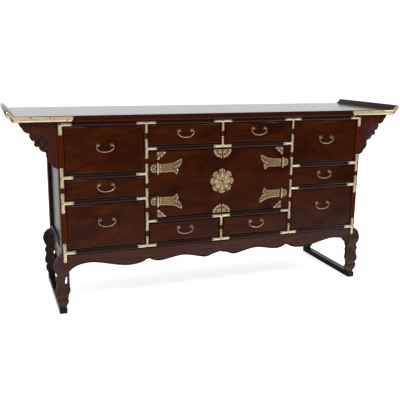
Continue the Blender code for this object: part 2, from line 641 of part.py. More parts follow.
# Doors with hinges, lobed medallion halves and drop pulls
STRAP_OUTLINE = mm(
    (6.2, 18.5), (45, 17.5), (72, 21), (88, 28.5), (112, 38), (113, 22), (106, 7), (96, -2), (88, 2),
    (86, -3), (94, -7), (97, -15), (93, -28), (88, -33.5), (80, -26), (63, -19.5), (40, -19), (6.2, -18.5),
    (6.2, -7.6), (1.0, -7.6), (1.0, 7.6), (6.2, 7.6),
)
LEAF_REACH = JAMB_WIDTH - 0.0005
LEAF_EDGE = ((-1.0, 17.5), (-6.4, 18.8))
LEAF_ROUND = ((0.55, 19), (0.80, 15), (0.955, 7), (1.0, 0), (0.955, -7), (0.80, -15), (0.55, -19))
LEAF_OUTLINE = mm(*LEAF_EDGE)
LEAF_OUTLINE += [(-share * LEAF_REACH, z / 1000) for share, z in LEAF_ROUND]
LEAF_OUTLINE += mm((-6.4, -18.8), (-1.0, -17.5), (-1.0, -8.5), (-6.4, -8.5), (-6.4, 8.5), (-1.0, 8.5))
PIN_PROFILE = [
    (0, -0.0255), (0.0026, -0.0247), (0.0039, -0.0222), (0.0027, -0.0192), (KNUCKLE, -0.0186),
    (KNUCKLE, -0.0083), (0.0024, -0.0083), (0.0024, 0.0083), (KNUCKLE, 0.0083), (KNUCKLE, 0.0186),
    (0.0027, 0.0192), (0.0039, 0.0222), (0.0026, 0.0247), (0, 0.0255),
]
KNUCKLE_RING = [(0.0028, -0.0078), (KNUCKLE, -0.0078), (KNUCKLE, 0.0078), (0.0028, 0.0078)]
LEAF_Y = (FACE - GAP - PLATE, FACE - GAP)
MEDALLION_Z = (DOOR_LOW + DOOR_HIGH) / 2 + 0.001
MEDALLION_R = 0.057
MEET = 0.0014


def medallion(side):
    """One half of an eight-lobed domed plate, cut along the meeting line of the doors."""
    bm = bmesh.new()
    count = 48
    rings = []
    for share, height in ((0.0, 3.6), (0.30, 3.2), (0.52, 1.7), (0.72, 2.4), (1.0, 1.0), (1.0, 0.0)):
        ring = []
        for k in range(1 if share == 0 else count):
            turn = 2 * math.pi * k / count
            lobe = abs(math.cos(4 * turn)) ** 0.7
            ripple = 0.02 * math.cos(24 * turn)
            reach = MEDALLION_R * share * (1 - (0.17 * (1 - lobe) - ripple) * max(0.0, share * 2 - 1))
            spot = (reach * math.cos(turn), FACE - GAP - height / 1000, MEDALLION_Z + reach * math.sin(turn))
            ring.append(bm.verts.new(spot))
        rings.append(ring)
    for near, far in zip(rings, rings[1:]):
        for k in range(count):
            n = (k + 1) % count
            corners = [near[k % len(near)], near[n % len(near)], far[n], far[k]]
            bm.faces.new(list(dict.fromkeys(corners)))
    bm.faces.new(rings[-1])
    split = bmesh.ops.bisect_plane(
        bm, geom=bm.verts[:] + bm.edges[:] + bm.faces[:], dist=1e-6, plane_co=(side * MEET, 0, 0),
        plane_no=(side, 0, 0), clear_inner=True,
    )
    rim = [e for e in split["geom_cut"] if isinstance(e, bmesh.types.BMEdge)]
    bmesh.ops.holes_fill(bm, edges=rim)
    return bm


PULL_X = 0.0130
PULL_Z = MEDALLION_Z - 0.003
PULL_OUT = 0.0088
PULL_POST = [
    (0, -0.0016), (0.0042, -0.0016), (0.0036, -0.0055), (0.0032, -0.0070), (0.0034, -0.0108),
    (0.0022, -0.0122), (0, -0.0125),
]
PULL_ROD, PULL_HOLE = 0.0013, 0.0017

for side, word in ((-1, "left"), (1, "right")):
    name = word + "_door"
    door_x = sorted((side * MEET, side * DOOR_EDGE))
    bm = block(door_x, (FACE, FACE + FRONT_THICK), (DOOR_LOW + FRONT_GAP, DOOR_HIGH - FRONT_GAP))
    edges = [e for e in bm.edges if all(abs(v.co.y - FACE) < 1e-6 for v in e.verts)]
    bmesh.ops.bevel(bm, geom=edges, offset=0.0008, segments=1, affect="EDGES")
    pin_x = side * PIN_X
    place(name, bm, wood(name, FIGURED_WOOD), (pin_x, PIN_Y, (DOOR_LOW + DOOR_HIGH) / 2))
    hinge_in = HINGE_PLACE * (DOOR_HIGH - DOOR_LOW)
    for tier, z, flip in (("upper", DOOR_HIGH - hinge_in, 1), ("lower", DOOR_LOW + hinge_in, -1)):
        spot = (pin_x, PIN_Y, z)
        label = word + "_" + tier + "_hinge"
        strap = place(label + "_strap", lathe(KNUCKLE_RING, "Z", spot, 12), brass(label + "_strap"), spot)
        outline = [(pin_x - side * a, z + flip * b) for a, b in STRAP_OUTLINE]
        fuse(strap, prism(outline, "Y", *LEAF_Y), "plate")
        leaf = place(label + "_leaf", lathe(PIN_PROFILE, "Z", spot, 12), brass(label + "_leaf"))
        outline = [(pin_x - side * a, z + b) for a, b in LEAF_OUTLINE]
        fuse(leaf, prism(outline, "Y", *LEAF_Y), "plate")
    name = word + "_medallion"
    half_plate = place(name, medallion(side), brass(name))
    fuse(half_plate, lathe(PULL_POST, "Y", (side * PULL_X, FACE, PULL_Z), 12), "pull_post")
    pivot = (side * PULL_X, FACE - PULL_OUT, PULL_Z)
    bore = lathe([(0, -0.008), (PULL_HOLE, -0.008), (PULL_HOLE, 0.008), (0, 0.008)], "X", pivot, 12)
    cut(half_plate, bore, "pull_bore")
    name = word + "_pull"
    path = [(0.0052, 0), (-0.0045, 0), (-0.0073, -0.0040), (-0.0090, -0.0105), (-0.0108, -0.0170)]
    radii = [PULL_ROD, PULL_ROD, PULL_ROD, PULL_ROD * 1.2, PULL_ROD * 1.4]
    bm = handle_curve(name, [(side * a, 0, b) for a, b in path], radii, False)
    bmesh.ops.translate(bm, vec=Vector(pivot), verts=bm.verts)
    place(name, bm, brass(name), pivot)
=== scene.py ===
# %% [markdown]
# # A long altar sideboard in lacquered wood and brass
# The case, drawers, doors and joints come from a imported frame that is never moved. This lesson dresses that
# frame: finishes for every board, brass straps, hinges, handles and ornaments, and the carving of the legs.
# All sizes are metres, X runs to the right, Y to the back and Z up, with the floor at zero.

# %% Open the frame and keep its box
import json
import math

import bmesh
import bpy
from mathutils import Matrix, Vector


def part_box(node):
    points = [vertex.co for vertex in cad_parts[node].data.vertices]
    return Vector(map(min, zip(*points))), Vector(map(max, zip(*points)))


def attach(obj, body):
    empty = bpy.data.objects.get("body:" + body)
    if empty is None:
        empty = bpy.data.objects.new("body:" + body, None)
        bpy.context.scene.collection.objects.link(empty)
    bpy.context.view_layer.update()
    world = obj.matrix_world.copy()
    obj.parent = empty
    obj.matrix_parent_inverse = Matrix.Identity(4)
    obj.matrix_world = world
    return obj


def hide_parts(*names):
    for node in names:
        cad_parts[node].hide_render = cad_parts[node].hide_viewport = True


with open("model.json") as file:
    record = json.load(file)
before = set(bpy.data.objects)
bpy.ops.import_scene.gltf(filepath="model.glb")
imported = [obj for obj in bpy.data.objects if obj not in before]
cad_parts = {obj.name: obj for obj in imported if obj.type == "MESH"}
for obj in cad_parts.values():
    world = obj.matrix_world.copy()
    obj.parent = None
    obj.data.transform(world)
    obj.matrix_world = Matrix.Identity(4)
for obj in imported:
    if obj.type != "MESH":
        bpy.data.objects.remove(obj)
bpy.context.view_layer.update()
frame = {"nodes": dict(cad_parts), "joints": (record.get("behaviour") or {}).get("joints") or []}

# %% [markdown]
# ## Landmarks
# Every ornament sits on a board that already exists, so its place is read from that board's box. Reading a
# place is safer than typing it again: when a board moves, what is nailed to it moves too.

# %% Read the landmarks
SEAM = 0.0003
POST_WIDTH = 0.026
END_RISE = 0.022
top_rail_low, top_rail_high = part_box("top_rail")
top_low, top_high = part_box("table_top")
FRONT = top_rail_low.y
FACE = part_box("left_door")[0].y
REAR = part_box("rear_left_leg")[1].y
POST_IN = top_rail_high.x + SEAM
POST_OUT = POST_IN + POST_WIDTH
POST_X = POST_IN + POST_WIDTH / 2
TOP_UNDER = top_rail_high.z + SEAM
TOP_HEIGHT = top_high.z - END_RISE
TOP_THICK = TOP_HEIGHT - TOP_UNDER
CASE_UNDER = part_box("bottom_board")[0].z - SEAM
STILE_X = (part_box("right_upper_shelf")[0].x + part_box("centre_upper_shelf")[1].x) / 2
SIDES = ((-1, "left"), (1, "right"))


def middle_height(node):
    low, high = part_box(node)
    return (low.z + high.z) / 2


RAIL = {
    "top": middle_height("top_rail"),
    "bottom": middle_height("bottom_board"),
    "side_upper": middle_height("left_upper_shelf"),
    "side_lower": middle_height("left_lower_shelf"),
    "centre_upper": middle_height("centre_upper_shelf"),
    "centre_lower": middle_height("centre_lower_shelf"),
}
print("case front at", round(FRONT, 4), "- rails at", {k: round(v, 3) for k, v in RAIL.items()})

# %% [markdown]
# ## Camera
# The view is a little above the top and to the left of the middle, so that the front, the left side and the
# top all show. The camera is set by three turns, and the last one keeps the small lean of the real picture.

# %% Place the camera
CAMERA_AT = Vector((-1.0082, -2.6760, 1.0744))
YAW, PITCH, ROLL = 0.3532, 0.2296, 0.0122
LENS = 53.433
heading = Matrix.Rotation(-YAW, 4, "Z")
tilt = Matrix.Rotation(math.pi / 2 - PITCH, 4, "X")
lean = Matrix.Rotation(ROLL, 4, "Z")
lens = bpy.data.cameras.new("camera")
lens.lens = LENS
camera = bpy.data.objects.new("camera", lens)
camera.matrix_world = Matrix.Translation(CAMERA_AT) @ heading @ tilt @ lean
bpy.context.scene.collection.objects.link(camera)
bpy.context.scene.camera = camera
print("camera at", [round(c, 3) for c in CAMERA_AT], "with a lens of", LENS, "mm")

# %% [markdown]
# ## Helpers for shader nodes
# Every finish and the surroundings are small trees of nodes. `add_node` makes a node, sets or links its entries
# and gives back its output, so that a tree is built from the pattern towards the shader, one line for a node.

# %% Define the node helpers
MIX_FACTOR, MIX_UNDER, MIX_OVER, MIX_RESULT = 0, 6, 7, 2


def fill(tree, node, entries):
    """An entry is a colour, a number or the output of another node."""
    for key, entry in entries.items():
        socket = node.inputs[key]
        if isinstance(entry, bpy.types.NodeSocket):
            tree.links.new(entry, socket)
        else:
            socket.default_value = (*entry, 1) if socket.type == "RGBA" else entry


def add_node(tree, kind, entries=(), out=0, **settings):
    node = tree.nodes.new("ShaderNode" + kind)
    for setting, value in settings.items():
        setattr(node, setting, value)
    fill(tree, node, dict(entries))
    return node.outputs[out]


def mix_colours(tree, mask, under, over, **settings):
    """Lays one colour over another where the mask asks for it."""
    entries = {MIX_FACTOR: mask, MIX_UNDER: under, MIX_OVER: over}
    return add_node(tree, "Mix", entries, MIX_RESULT, data_type="RGBA", **settings)


def colour_ramp(tree, tone, low, dark, high, light):
    """Turns a tone into a colour between dark and light."""
    colour = add_node(tree, "ValToRGB", {"Fac": tone})
    for stop, at, shade in zip(colour.node.color_ramp.elements, (low, high), (dark, light)):
        stop.position = at
        stop.color = (*shade, 1)
    return colour


def new_finish(name):
    made = bpy.data.materials.new(name)
    made.use_nodes = True
    return made, made.node_tree, made.node_tree.nodes["Principled BSDF"]


print("node helpers ready")

# %% [markdown]
# ## Floor
# The floor is plain and pale. It stays out of the reflections, where the surroundings stand in for it with a
# softer edge.

# %% Lay the floor
FLOOR_REACH = 14.0
FLOOR_GLOW = 0.74
pale, tree, shader = new_finish("pale_floor")
fill(tree, shader, {
    "Base Color": (0.86, 0.86, 0.86), "Roughness": 0.9, "Specular IOR Level": 0.0,
    "Emission Color": (1, 1, 1), "Emission Strength": FLOOR_GLOW,
})
bm = bmesh.new()
bmesh.ops.create_grid(bm, x_segments=1, y_segments=1, size=FLOOR_REACH)
floor_mesh = bpy.data.meshes.new("floor")
bm.to_mesh(floor_mesh)
bm.free()
floor_mesh.materials.append(pale)
floor = bpy.data.objects.new("floor", floor_mesh)
floor.visible_glossy = False
bpy.context.scene.collection.objects.link(floor)
print("floor", 2 * FLOOR_REACH, "m wide")

# %% [markdown]
# ## Surroundings and lights
# Dark lacquer is a mirror with a colour under it, so what stands round the piece matters as much as the lamps.
# The surroundings are bright behind, which turns the top and the side pale, and dim straight ahead, which keeps
# the drawers dark. High up behind they are dimmer again, for the inside of the upturned end, and far to the left
# almost black, for the runners. The ceiling, the left wall and the floor in front give the rounded brass and the
# lower drawers their sheen, which grows towards the right.

# %% Light the surroundings
BACK_WALL, HIGH_BACK, FAR_LEFT, ZENITH = 1.35, 0.36, 0.12, 1.4
FRONT_DIM, FRONT_CEILING, FRONT_FLOOR, NEAR_FLOOR = 0.01, 0.55, 0.45, 1.2
LEFT_WALL, RIGHT_GLOW = 0.5, 3.0
world = bpy.data.worlds.new("studio")
world.use_nodes = True
bpy.context.scene.world = world
sky = world.node_tree
heading_of = add_node(sky, "SeparateXYZ", {0: add_node(sky, "TexCoord", out="Generated")}).node.outputs


def fade(axis, start, stop, low, high):
    """A smooth change of brightness between two heights, depths or sides of the surroundings."""
    entries = {"Value": heading_of[axis], "From Min": start, "From Max": stop, "To Min": low, "To Max": high}
    return add_node(sky, "MapRange", entries, interpolation_type="SMOOTHSTEP")


def combine(operation, first, *others):
    for other in others:
        first = add_node(sky, "Math", {0: first, 1: other}, operation=operation)
    return first


sheen = combine("MULTIPLY", fade("Z", -0.38, -0.19, FRONT_FLOOR, 0.0), fade("X", 0.3, 0.6, 1.0, RIGHT_GLOW))
ahead = combine(
    "ADD", fade("Z", 0.06, 0.5, FRONT_DIM, FRONT_CEILING), sheen, fade("Z", -0.8, -0.42, NEAR_FLOOR, 0.0),
    fade("X", -0.85, -0.5, LEFT_WALL, 0.0),
)
wall = fade("Z", 0.38, 0.5, BACK_WALL, BACK_WALL * HIGH_BACK)
wall = combine("MULTIPLY", wall, fade("X", -0.48, -0.32, FAR_LEFT, 1.0))
behind = combine("ADD", wall, fade("Z", 0.76, 0.92, 0.0, ZENITH))
around = add_node(sky, "Mix", {"Factor": fade("Y", -0.1, 0.6, 0.0, 1.0), "A": ahead, "B": behind})
direct = add_node(sky, "LightPath", out="Is Camera Ray")
shown = add_node(sky, "Mix", {"Factor": direct, "A": around, "B": 1.0})
fill(sky, sky.nodes["Background"], {"Color": (1, 1, 1), "Strength": shown})
print("surroundings of", len(sky.nodes), "nodes")

# %% Hang the lights
LIGHTS = (
    ("key_light", (-1.9, -2.6, 3.0), (0.0, 0.0, 0.5), 1.0, 66),
    ("fill_light", (2.6, -2.2, 2.2), (0.1, 0.0, 0.5), 0.9, 18),
    ("overhead_light", (0.0, -0.4, 4.6), (0.0, 0.0, 0.0), 4.5, 40),
)
for name, at, aim, width, power in LIGHTS:
    lamp = bpy.data.lights.new(name, "AREA")
    lamp.shape = "DISK"
    lamp.size = width
    lamp.energy = power
    softbox = bpy.data.objects.new(name, lamp)
    softbox.location = at
    softbox.rotation_euler = (Vector(aim) - Vector(at)).to_track_quat("-Z", "Y").to_euler()
    bpy.context.scene.collection.objects.link(softbox)
bpy.context.scene.view_settings.view_transform = "Standard"
print("soft lights:", len(LIGHTS))

# %% [markdown]
# ## Lacquered wood
# The wood is a dark red-brown stain under a thick glossy varnish. A stretched noise makes the long fibres, a
# finer one the pores, and the varnish is the shader's coat. The pattern reads Object coordinates, so each board
# shows its own stretch of the log, and the grain direction is only a matter of which axis is stretched. Doors
# and drawer fronts are cut from a figured log: wide patches swirl their tone, and thin dark rings cross it.

# %% Make the wood finish


def wood_finish(name, colour_and_shade, along, stretch=14.0, figure=0.0, coat=0.75):
    """Stained, varnished wood with its fibres along one axis and an optional swirling figure."""
    made, tree, shader = new_finish(name)
    place = add_node(tree, "TexCoord", out="Object")
    scale = [1.0 if axis == along else stretch for axis in "XYZ"]
    grain = add_node(tree, "Mapping", {"Vector": place, "Scale": scale})
    fibre = {"Vector": grain, "Scale": 7.0, "Detail": 7.0, "Roughness": 0.62, "Distortion": 0.5}
    tone = add_node(tree, "TexNoise", fibre)
    if figure:
        turn = {"Vector": place, "Scale": (1.3, 1.0, 2.2), "Rotation": (0.0, 0.45, 0.0)}
        arch = add_node(tree, "Mapping", turn)
        patch = add_node(tree, "TexNoise", {"Vector": arch, "Scale": 4.0, "Detail": 2.5, "Distortion": 1.2})
        tone = add_node(tree, "Mix", {"Factor": figure, "A": tone, "B": patch})
    colour = colour_ramp(tree, tone, 0.28, colour_and_shade[0], 0.74, colour_and_shade[1])
    if figure:
        swirl = {"Vector": arch, "Scale": 3.0, "Distortion": 11.0, "Detail": 2.0, "Detail Scale": 0.55}
        rings = add_node(tree, "TexWave", swirl, "Fac", wave_type="RINGS", rings_direction="SPHERICAL")
        line = add_node(tree, "MapRange", {"Value": rings, "From Min": 0.8, "To Max": 0.6})
        veil = add_node(tree, "Math", {0: line, 1: patch}, operation="MULTIPLY")
        colour = mix_colours(tree, veil, colour, colour_and_shade[0])
    pore = add_node(tree, "TexNoise", {"Vector": grain, "Scale": 60.0, "Detail": 3.0})
    gloss = add_node(tree, "MapRange", {"Value": pore, "To Min": 0.3, "To Max": 0.46})
    relief = add_node(tree, "Bump", {"Height": pore, "Strength": 0.12, "Distance": 0.0006})
    fill(tree, shader, {
        "Base Color": colour, "Roughness": gloss, "Normal": relief,
        "Coat Weight": coat, "Coat Roughness": 0.16, "Specular IOR Level": 0.0,
    })
    return made


print("wood finish ready")

# %% [markdown]
# ## Painted shade and patina in the depths
# The depth helper darkens what is further in than the outer faces. On the hinges this is the patina of the sunk
# brass field; on the carved legs it is painted shade on their sides. The rim helper reads the attribute "facing",
# which each new piece gets with its mesh. It paints shade on the rounded edges that turn away from the front, so
# that a thin dark seam runs round every member.

# %% Add the painted shade and patina


def painted(finish):
    shader = finish.node_tree.nodes["Principled BSDF"]
    return finish.node_tree, shader, shader.inputs["Base Color"].links[0].from_socket


def deep_patina_and_shade(finish, colour_and_shade, middle, reach, full=0.012, none=0.006):
    """Darkens what is nearer the middle depth than the outer faces: brass patina in sunk fields, painted shade on
    carved sides.
    """
    tree, shader, colour = painted(finish)
    place = add_node(tree, "TexCoord", out="Object")
    depth = add_node(tree, "SeparateXYZ", {0: place}, "Y")
    depth = add_node(tree, "Math", {0: depth, 1: middle}, operation="SUBTRACT")
    depth = add_node(tree, "Math", {0: depth}, operation="ABSOLUTE")
    entries = {"Value": depth, "From Min": reach - full, "From Max": reach - none, "To Min": 0.85, "To Max": 0.0}
    mask = add_node(tree, "MapRange", entries)
    fill(tree, shader, {"Base Color": mix_colours(tree, mask, colour, colour_and_shade)})


def paint_rim_shade(finish, tint, low=0.35, high=0.9):
    """Paints shade on faces that turn away from the front, a dark seam along rounded edges."""
    tree, shader, colour = painted(finish)
    facing = add_node(tree, "Attribute", out="Fac", attribute_name="facing")
    mask = add_node(tree, "MapRange", {"Value": facing, "From Min": low, "From Max": high})
    wash = mix_colours(tree, 1.0, colour, tint, blend_type="MULTIPLY")
    fill(tree, shader, {"Base Color": mix_colours(tree, mask, wash, colour)})
    return finish


print("stain ready")

# %% [markdown]
# ## The woods of this piece
# All are the same lacquer in different tones. The posts are the reddest and the runners almost black. The carved
# legs and the apron are greyer, partly their own tone and partly painted sheen of the floor. The rear posts and
# legs are darker as painted shade, for the shadow under the case. The shelf edges are darker than the rail under
# the top, as painted shade between the drawers. The back board and the drawer boxes are bare wood without varnish.

# %% Mix the woods
STAIN = (0.02, 0.0038, 0.0013), (0.037, 0.0074, 0.0025)
# The shelf edges are darker as painted shade, for the shade between the drawers.
SHELF_SHADED = (0.012, 0.0034, 0.0018), (0.023, 0.0068, 0.0036)
POST = (0.034, 0.006, 0.0008), (0.062, 0.0118, 0.0016)
BRACKET = (0.03, 0.0072, 0.0046), (0.056, 0.0142, 0.009)
# The apron and carved tones are greyer: partly their own colour, partly painted sheen of the floor, which their
# thin coat hardly reflects.
APRON = (0.032, 0.0125, 0.0085), (0.062, 0.027, 0.02)
FIGURED = (0.011, 0.0019, 0.0002), (0.053, 0.01, 0.0007)
CARVED = (0.03, 0.012, 0.011), (0.06, 0.028, 0.026)
RUNNER = (0.0045, 0.004, 0.0036), (0.012, 0.01, 0.009)
# The rear posts and legs are darker as painted shade, for the shadow under the case; the apron's dark rim uses it
# too.
REAR_SHADE = (0.0095, 0.0052, 0.0045), (0.024, 0.0118, 0.0098)
BACK = (0.045, 0.02, 0.01), (0.11, 0.055, 0.028)
LINING = (0.25, 0.15, 0.075), (0.42, 0.28, 0.15)
# Tints of painted shade: for the seams along rounded edges, for the top's faces that turn away from the front, and
# for the carved sides of the legs.
SEAM_SHADE, TOP_FACE_SHADE, LEG_SIDE_SHADE = (0.2, 0.28, 0.45), (0.36, 0.65, 1.0), (0.008, 0.0036, 0.003)
top_wood = paint_rim_shade(wood_finish("top_lacquer", STAIN, "X"), TOP_FACE_SHADE)
side_wood = wood_finish("side_lacquer", STAIN, "Z", coat=0.45)
rail_wood = paint_rim_shade(wood_finish("rail_lacquer", STAIN, "X", coat=0.4), SEAM_SHADE)
shaded_shelf_wood = paint_rim_shade(wood_finish("shelf_shaded_lacquer", SHELF_SHADED, "X", coat=0.4), SEAM_SHADE)
post_wood = paint_rim_shade(wood_finish("post_lacquer", POST, "Z", coat=0.3), SEAM_SHADE)
bracket_wood = paint_rim_shade(wood_finish("bracket_lacquer", BRACKET, "Z", coat=0.8), SEAM_SHADE, 0.2, 0.8)
apron_wood = paint_rim_shade(wood_finish("apron_lacquer", APRON, "X", coat=0.25), SEAM_SHADE)
shaded_rear_wood = wood_finish("rear_shaded_lacquer", REAR_SHADE, "Z", coat=0.2)
door_wood = wood_finish("door_lacquer", FIGURED, "X", stretch=6.0, figure=0.8)
front_wood = wood_finish("figured_lacquer", FIGURED, "X", stretch=6.0, figure=0.8)
paint_rim_shade(front_wood, SEAM_SHADE)
leg_wood = wood_finish("leg_lacquer", CARVED, "Z", coat=0.25)
# The carved sides of the front legs, deeper than their front and back faces, get painted shade.
leg_middle = (FRONT + REAR) / 2
deep_patina_and_shade(leg_wood, LEG_SIDE_SHADE, leg_middle, leg_middle - FRONT)
runner_wood = wood_finish("runner_lacquer", RUNNER, "Y", coat=0.42)
back_wood = wood_finish("back_board_stain", BACK, "X", coat=0.0)
lining_wood = wood_finish("drawer_lining", LINING, "Y", coat=0.0)
print("fourteen wood finishes")

# %% [markdown]
# ## Aged brass
# The hardware is cast and stamped brass that has been toned down with a brown patina and rubbed bright on what
# stands proud. A wide noise moves the colour from gold to brown, and a fine one gives the metal the small hammered
# unevenness that breaks its highlights. Faces that look squarely to the front stay bright. The rims that turn
# away from the front are darkened: partly by the patina that polishing leaves there, and partly by painted shade
# that makes the straps read as rounded.

# %% Make the metal finishes


def brass_finish(name, bright, patina, rough_low, rough_high, metal=1.0, rim=0.25):
    made, tree, shader = new_finish(name)
    place = add_node(tree, "TexCoord", out="Object")
    cloud = add_node(tree, "TexNoise", {"Vector": place, "Scale": 42.0, "Detail": 5.0})
    colour = colour_ramp(tree, cloud, 0.34, patina, 0.62, bright)
    # Rims that turn away from the front darken: partly patina, partly painted shade.
    facing = add_node(tree, "Attribute", out="Fac", attribute_name="facing")
    polished_and_lit = add_node(tree, "MapRange", {"Value": facing, "From Min": 0.68, "From Max": 0.985})
    worn_and_shaded = mix_colours(tree, polished_and_lit, [rim * c for c in patina], colour)
    rub = add_node(tree, "MapRange", {"Value": cloud, "To Min": rough_high, "To Max": rough_low})
    hammer = add_node(tree, "TexNoise", {"Vector": place, "Scale": 260.0})
    dents = add_node(tree, "Bump", {"Height": hammer, "Strength": 0.05, "Distance": 0.0004})
    fill(tree, shader, {"Base Color": worn_and_shaded, "Roughness": rub, "Normal": dents, "Metallic": metal})
    return made


dark_brass = brass_finish("dark_brass", (0.33, 0.22, 0.1), (0.16, 0.1, 0.045), 0.38, 0.5, 0.75)
mid_brass = brass_finish("mid_brass", (0.56, 0.395, 0.19), (0.3, 0.205, 0.095), 0.34, 0.47, 0.8)
aged_brass = brass_finish("aged_brass", (0.82, 0.6, 0.31), (0.47, 0.325, 0.16), 0.3, 0.44, 0.85)
strap_brass = brass_finish("strap_brass", (1.0, 0.83, 0.55), (0.84, 0.64, 0.37), 0.24, 0.36, 0.7, 0.08)
stud_brass = brass_finish("stud_brass", (1.0, 0.85, 0.58), (0.82, 0.66, 0.42), 0.22, 0.3, 0.8, 0.3)
knob_brass = brass_finish("knob_brass", (1.0, 0.9, 0.7), (0.9, 0.78, 0.56), 0.1, 0.16, 0.9, 0.4)
handle_brass = brass_finish("handle_brass", (0.78, 0.59, 0.44), (0.38, 0.28, 0.2), 0.26, 0.4, 0.85, 0.5)
# Near-black discs that are painted as the shadow inside the piercings.
hole_shadow = brass_finish("pierced_shadow", (0.02, 0.008, 0.004), (0.01, 0.005, 0.003), 0.6, 0.8, 0.0)
print("eight metal finishes")

# %% [markdown]
# ## Finishes on the boards that stay
# The doors, side panels, runners and back panel of the frame already have the right shape. They only get a
# finish, with the grain along the way each board was cut.

# %% Give the boards their finishes
FINISH_OF = {"back_panel": back_wood}
for side, word in SIDES:
    FINISH_OF[word + "_door"] = door_wood
    FINISH_OF[word + "_side_panel"] = side_wood
    FINISH_OF[word + "_runner"] = runner_wood
for node, finish in FINISH_OF.items():
    mesh = frame["nodes"][node].data
    mesh.materials.clear()
    mesh.materials.append(finish)
print("finished boards:", len(FINISH_OF))

# %% [markdown]
# ## Keeping a new piece
# A new piece is modelled in place, so its object stays at the origin. `keep` closes the mesh, points its faces
# outwards, shades it, notes how squarely it looks to the front, and lets it ride on a body of the frame. The
# edges of wide flat faces stay crisp, so that a flat board also shades as flat.

# %% Define how a piece is kept
BROAD_AREA, BROAD_WIDTH = 1e-4, 0.003


def broad_edges(mesh):
    """The edges of faces that are both large and wide."""
    keys = set()
    for face in mesh.polygons:
        if face.area > BROAD_AREA:
            corners = [mesh.vertices[v].co for v in face.vertices]
            rim = sum((a - b).length for a, b in zip(corners, corners[1:] + corners[:1]))
            if face.area > BROAD_WIDTH * rim:
                keys.update(face.edge_keys)
    return keys


def closed_mesh(name, bm):
    bmesh.ops.remove_doubles(bm, verts=bm.verts, dist=1e-6)
    bmesh.ops.recalc_face_normals(bm, faces=bm.faces)
    mesh = bpy.data.meshes.new(name)
    bm.to_mesh(mesh)
    bm.free()
    return mesh


def keep(name, bm, finish, body, replaces=(), sharp=38.0):
    mesh = closed_mesh(name, bm)
    mesh.materials.append(finish)
    mesh.shade_smooth()
    mesh.set_sharp_from_angle(angle=math.radians(sharp))
    crisp = broad_edges(mesh)
    for edge in mesh.edges:
        if edge.key in crisp:
            edge.use_edge_sharp = True
    facing = mesh.attributes.new("facing", "FLOAT", "CORNER")
    facing.data.foreach_set("value", [max(0.0, -n.vector.y) for n in mesh.corner_normals])
    piece = bpy.data.objects.new(name, mesh)
    bpy.context.scene.collection.objects.link(piece)
    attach(piece, body)
    if replaces:
        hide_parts(*replaces)


def keep_wood(name, bm, finish, replaces=(), sharp=38.0):
    keep(name, bm, finish, "carcass", replaces, sharp)


def keep_brass(name, bm, finish, body="carcass", replaces=()):
    keep(name, bm, finish, body, replaces)


print("pieces can be kept")

# %% [markdown]
# ## Helpers for shapes
# `plate` cuts a sheet to an outline and rounds its front edge over, `domed` raises its whole face, `studs`
# sets domed nail heads and `turned` spins a profile as a lathe does. `fresh` does one such step on a new mesh.

# %% Define the shape helpers


def fresh(step, *parts, **options):
    """A new mesh with one step done on it."""
    bm = bmesh.new()
    step(bm, *parts, **options)
    return bm


def plate(bm, outline, back, front, edge, segments=3, along="Y"):
    """A sheet cut to an outline, extruded from back to front, with its front rim rounded over."""
    spots = {"Y": lambda a, b: (a, back, b), "X": lambda a, b: (back, a, b)}[along]
    face = bm.faces.new([bm.verts.new(spots(a, b)) for a, b in outline])
    grown = bmesh.ops.extrude_face_region(bm, geom=[face])["geom"]
    lifted = [g for g in grown if isinstance(g, bmesh.types.BMVert)]
    move = Vector((0, front - back, 0)) if along == "Y" else Vector((front - back, 0, 0))
    bmesh.ops.translate(bm, verts=lifted, vec=move)
    cap = next(g for g in grown if isinstance(g, bmesh.types.BMFace))
    bmesh.ops.bevel(
        bm, geom=list(cap.edges), offset=edge, segments=segments, profile=0.5, affect="EDGES", material=-1,
        clamp_overlap=True,
    )


def domed(bm, outline, back, base, rises, even=True):
    """A cast strap: a sheet whose face is raised in narrowing steps, so that it reads as rounded."""
    plate(bm, outline, back, base, 0.0003, 1)
    bmesh.ops.recalc_face_normals(bm, faces=bm.faces)
    face = max((f for f in bm.faces if f.normal.y < -0.99), key=lambda f: f.calc_area())
    for width, lift in rises:
        bmesh.ops.inset_region(bm, faces=[face], thickness=width, depth=lift, use_even_offset=even)


def ball(bm, radius, at, stretch=(1, 1, 1), turn=0.0, segments=12):
    made = bmesh.ops.create_uvsphere(bm, u_segments=segments, v_segments=segments // 2 + 2, radius=radius)
    shape = Matrix.Translation(at) @ Matrix.Rotation(turn, 4, "Y") @ Matrix.Diagonal((*stretch, 1))
    bmesh.ops.transform(bm, matrix=shape, verts=made["verts"])


def studs(bm, spots, radius, proud=0.65):
    """Domed nail heads that face the front."""
    for at in spots:
        ball(bm, radius, at, (1, proud, 1))


def beads(bm, rows, spot, depth, proud=0.65):
    """Heads from rows of (across, up, radius) in millimetres; spot places a drawn point."""
    for a, b, radius in rows:
        x, z = spot(a / 1000, b / 1000)
        studs(bm, [(x, depth, z)], radius / 1000, proud)


def turned(bm, profile, axis, centre, steps=24):
    """A turning: the profile's points are (radius, distance along the axis), spun once round it."""
    spot = {"Y": lambda r, d: (r, d, 0), "Z": lambda r, d: (r, 0, d)}[axis]
    points = [bm.verts.new(Vector(centre) + Vector(spot(r, d))) for r, d in profile]
    edges = [bm.edges.new(pair) for pair in zip(points, points[1:])]
    about = Vector((0, 1, 0)) if axis == "Y" else Vector((0, 0, 1))
    bmesh.ops.spin(
        bm, geom=points + edges, cent=centre, axis=about, angle=2 * math.pi, steps=steps, use_merge=True
    )
    bmesh.ops.remove_doubles(bm, verts=bm.verts, dist=1e-7)


print("shape helpers ready")

# %% Define the outline helpers


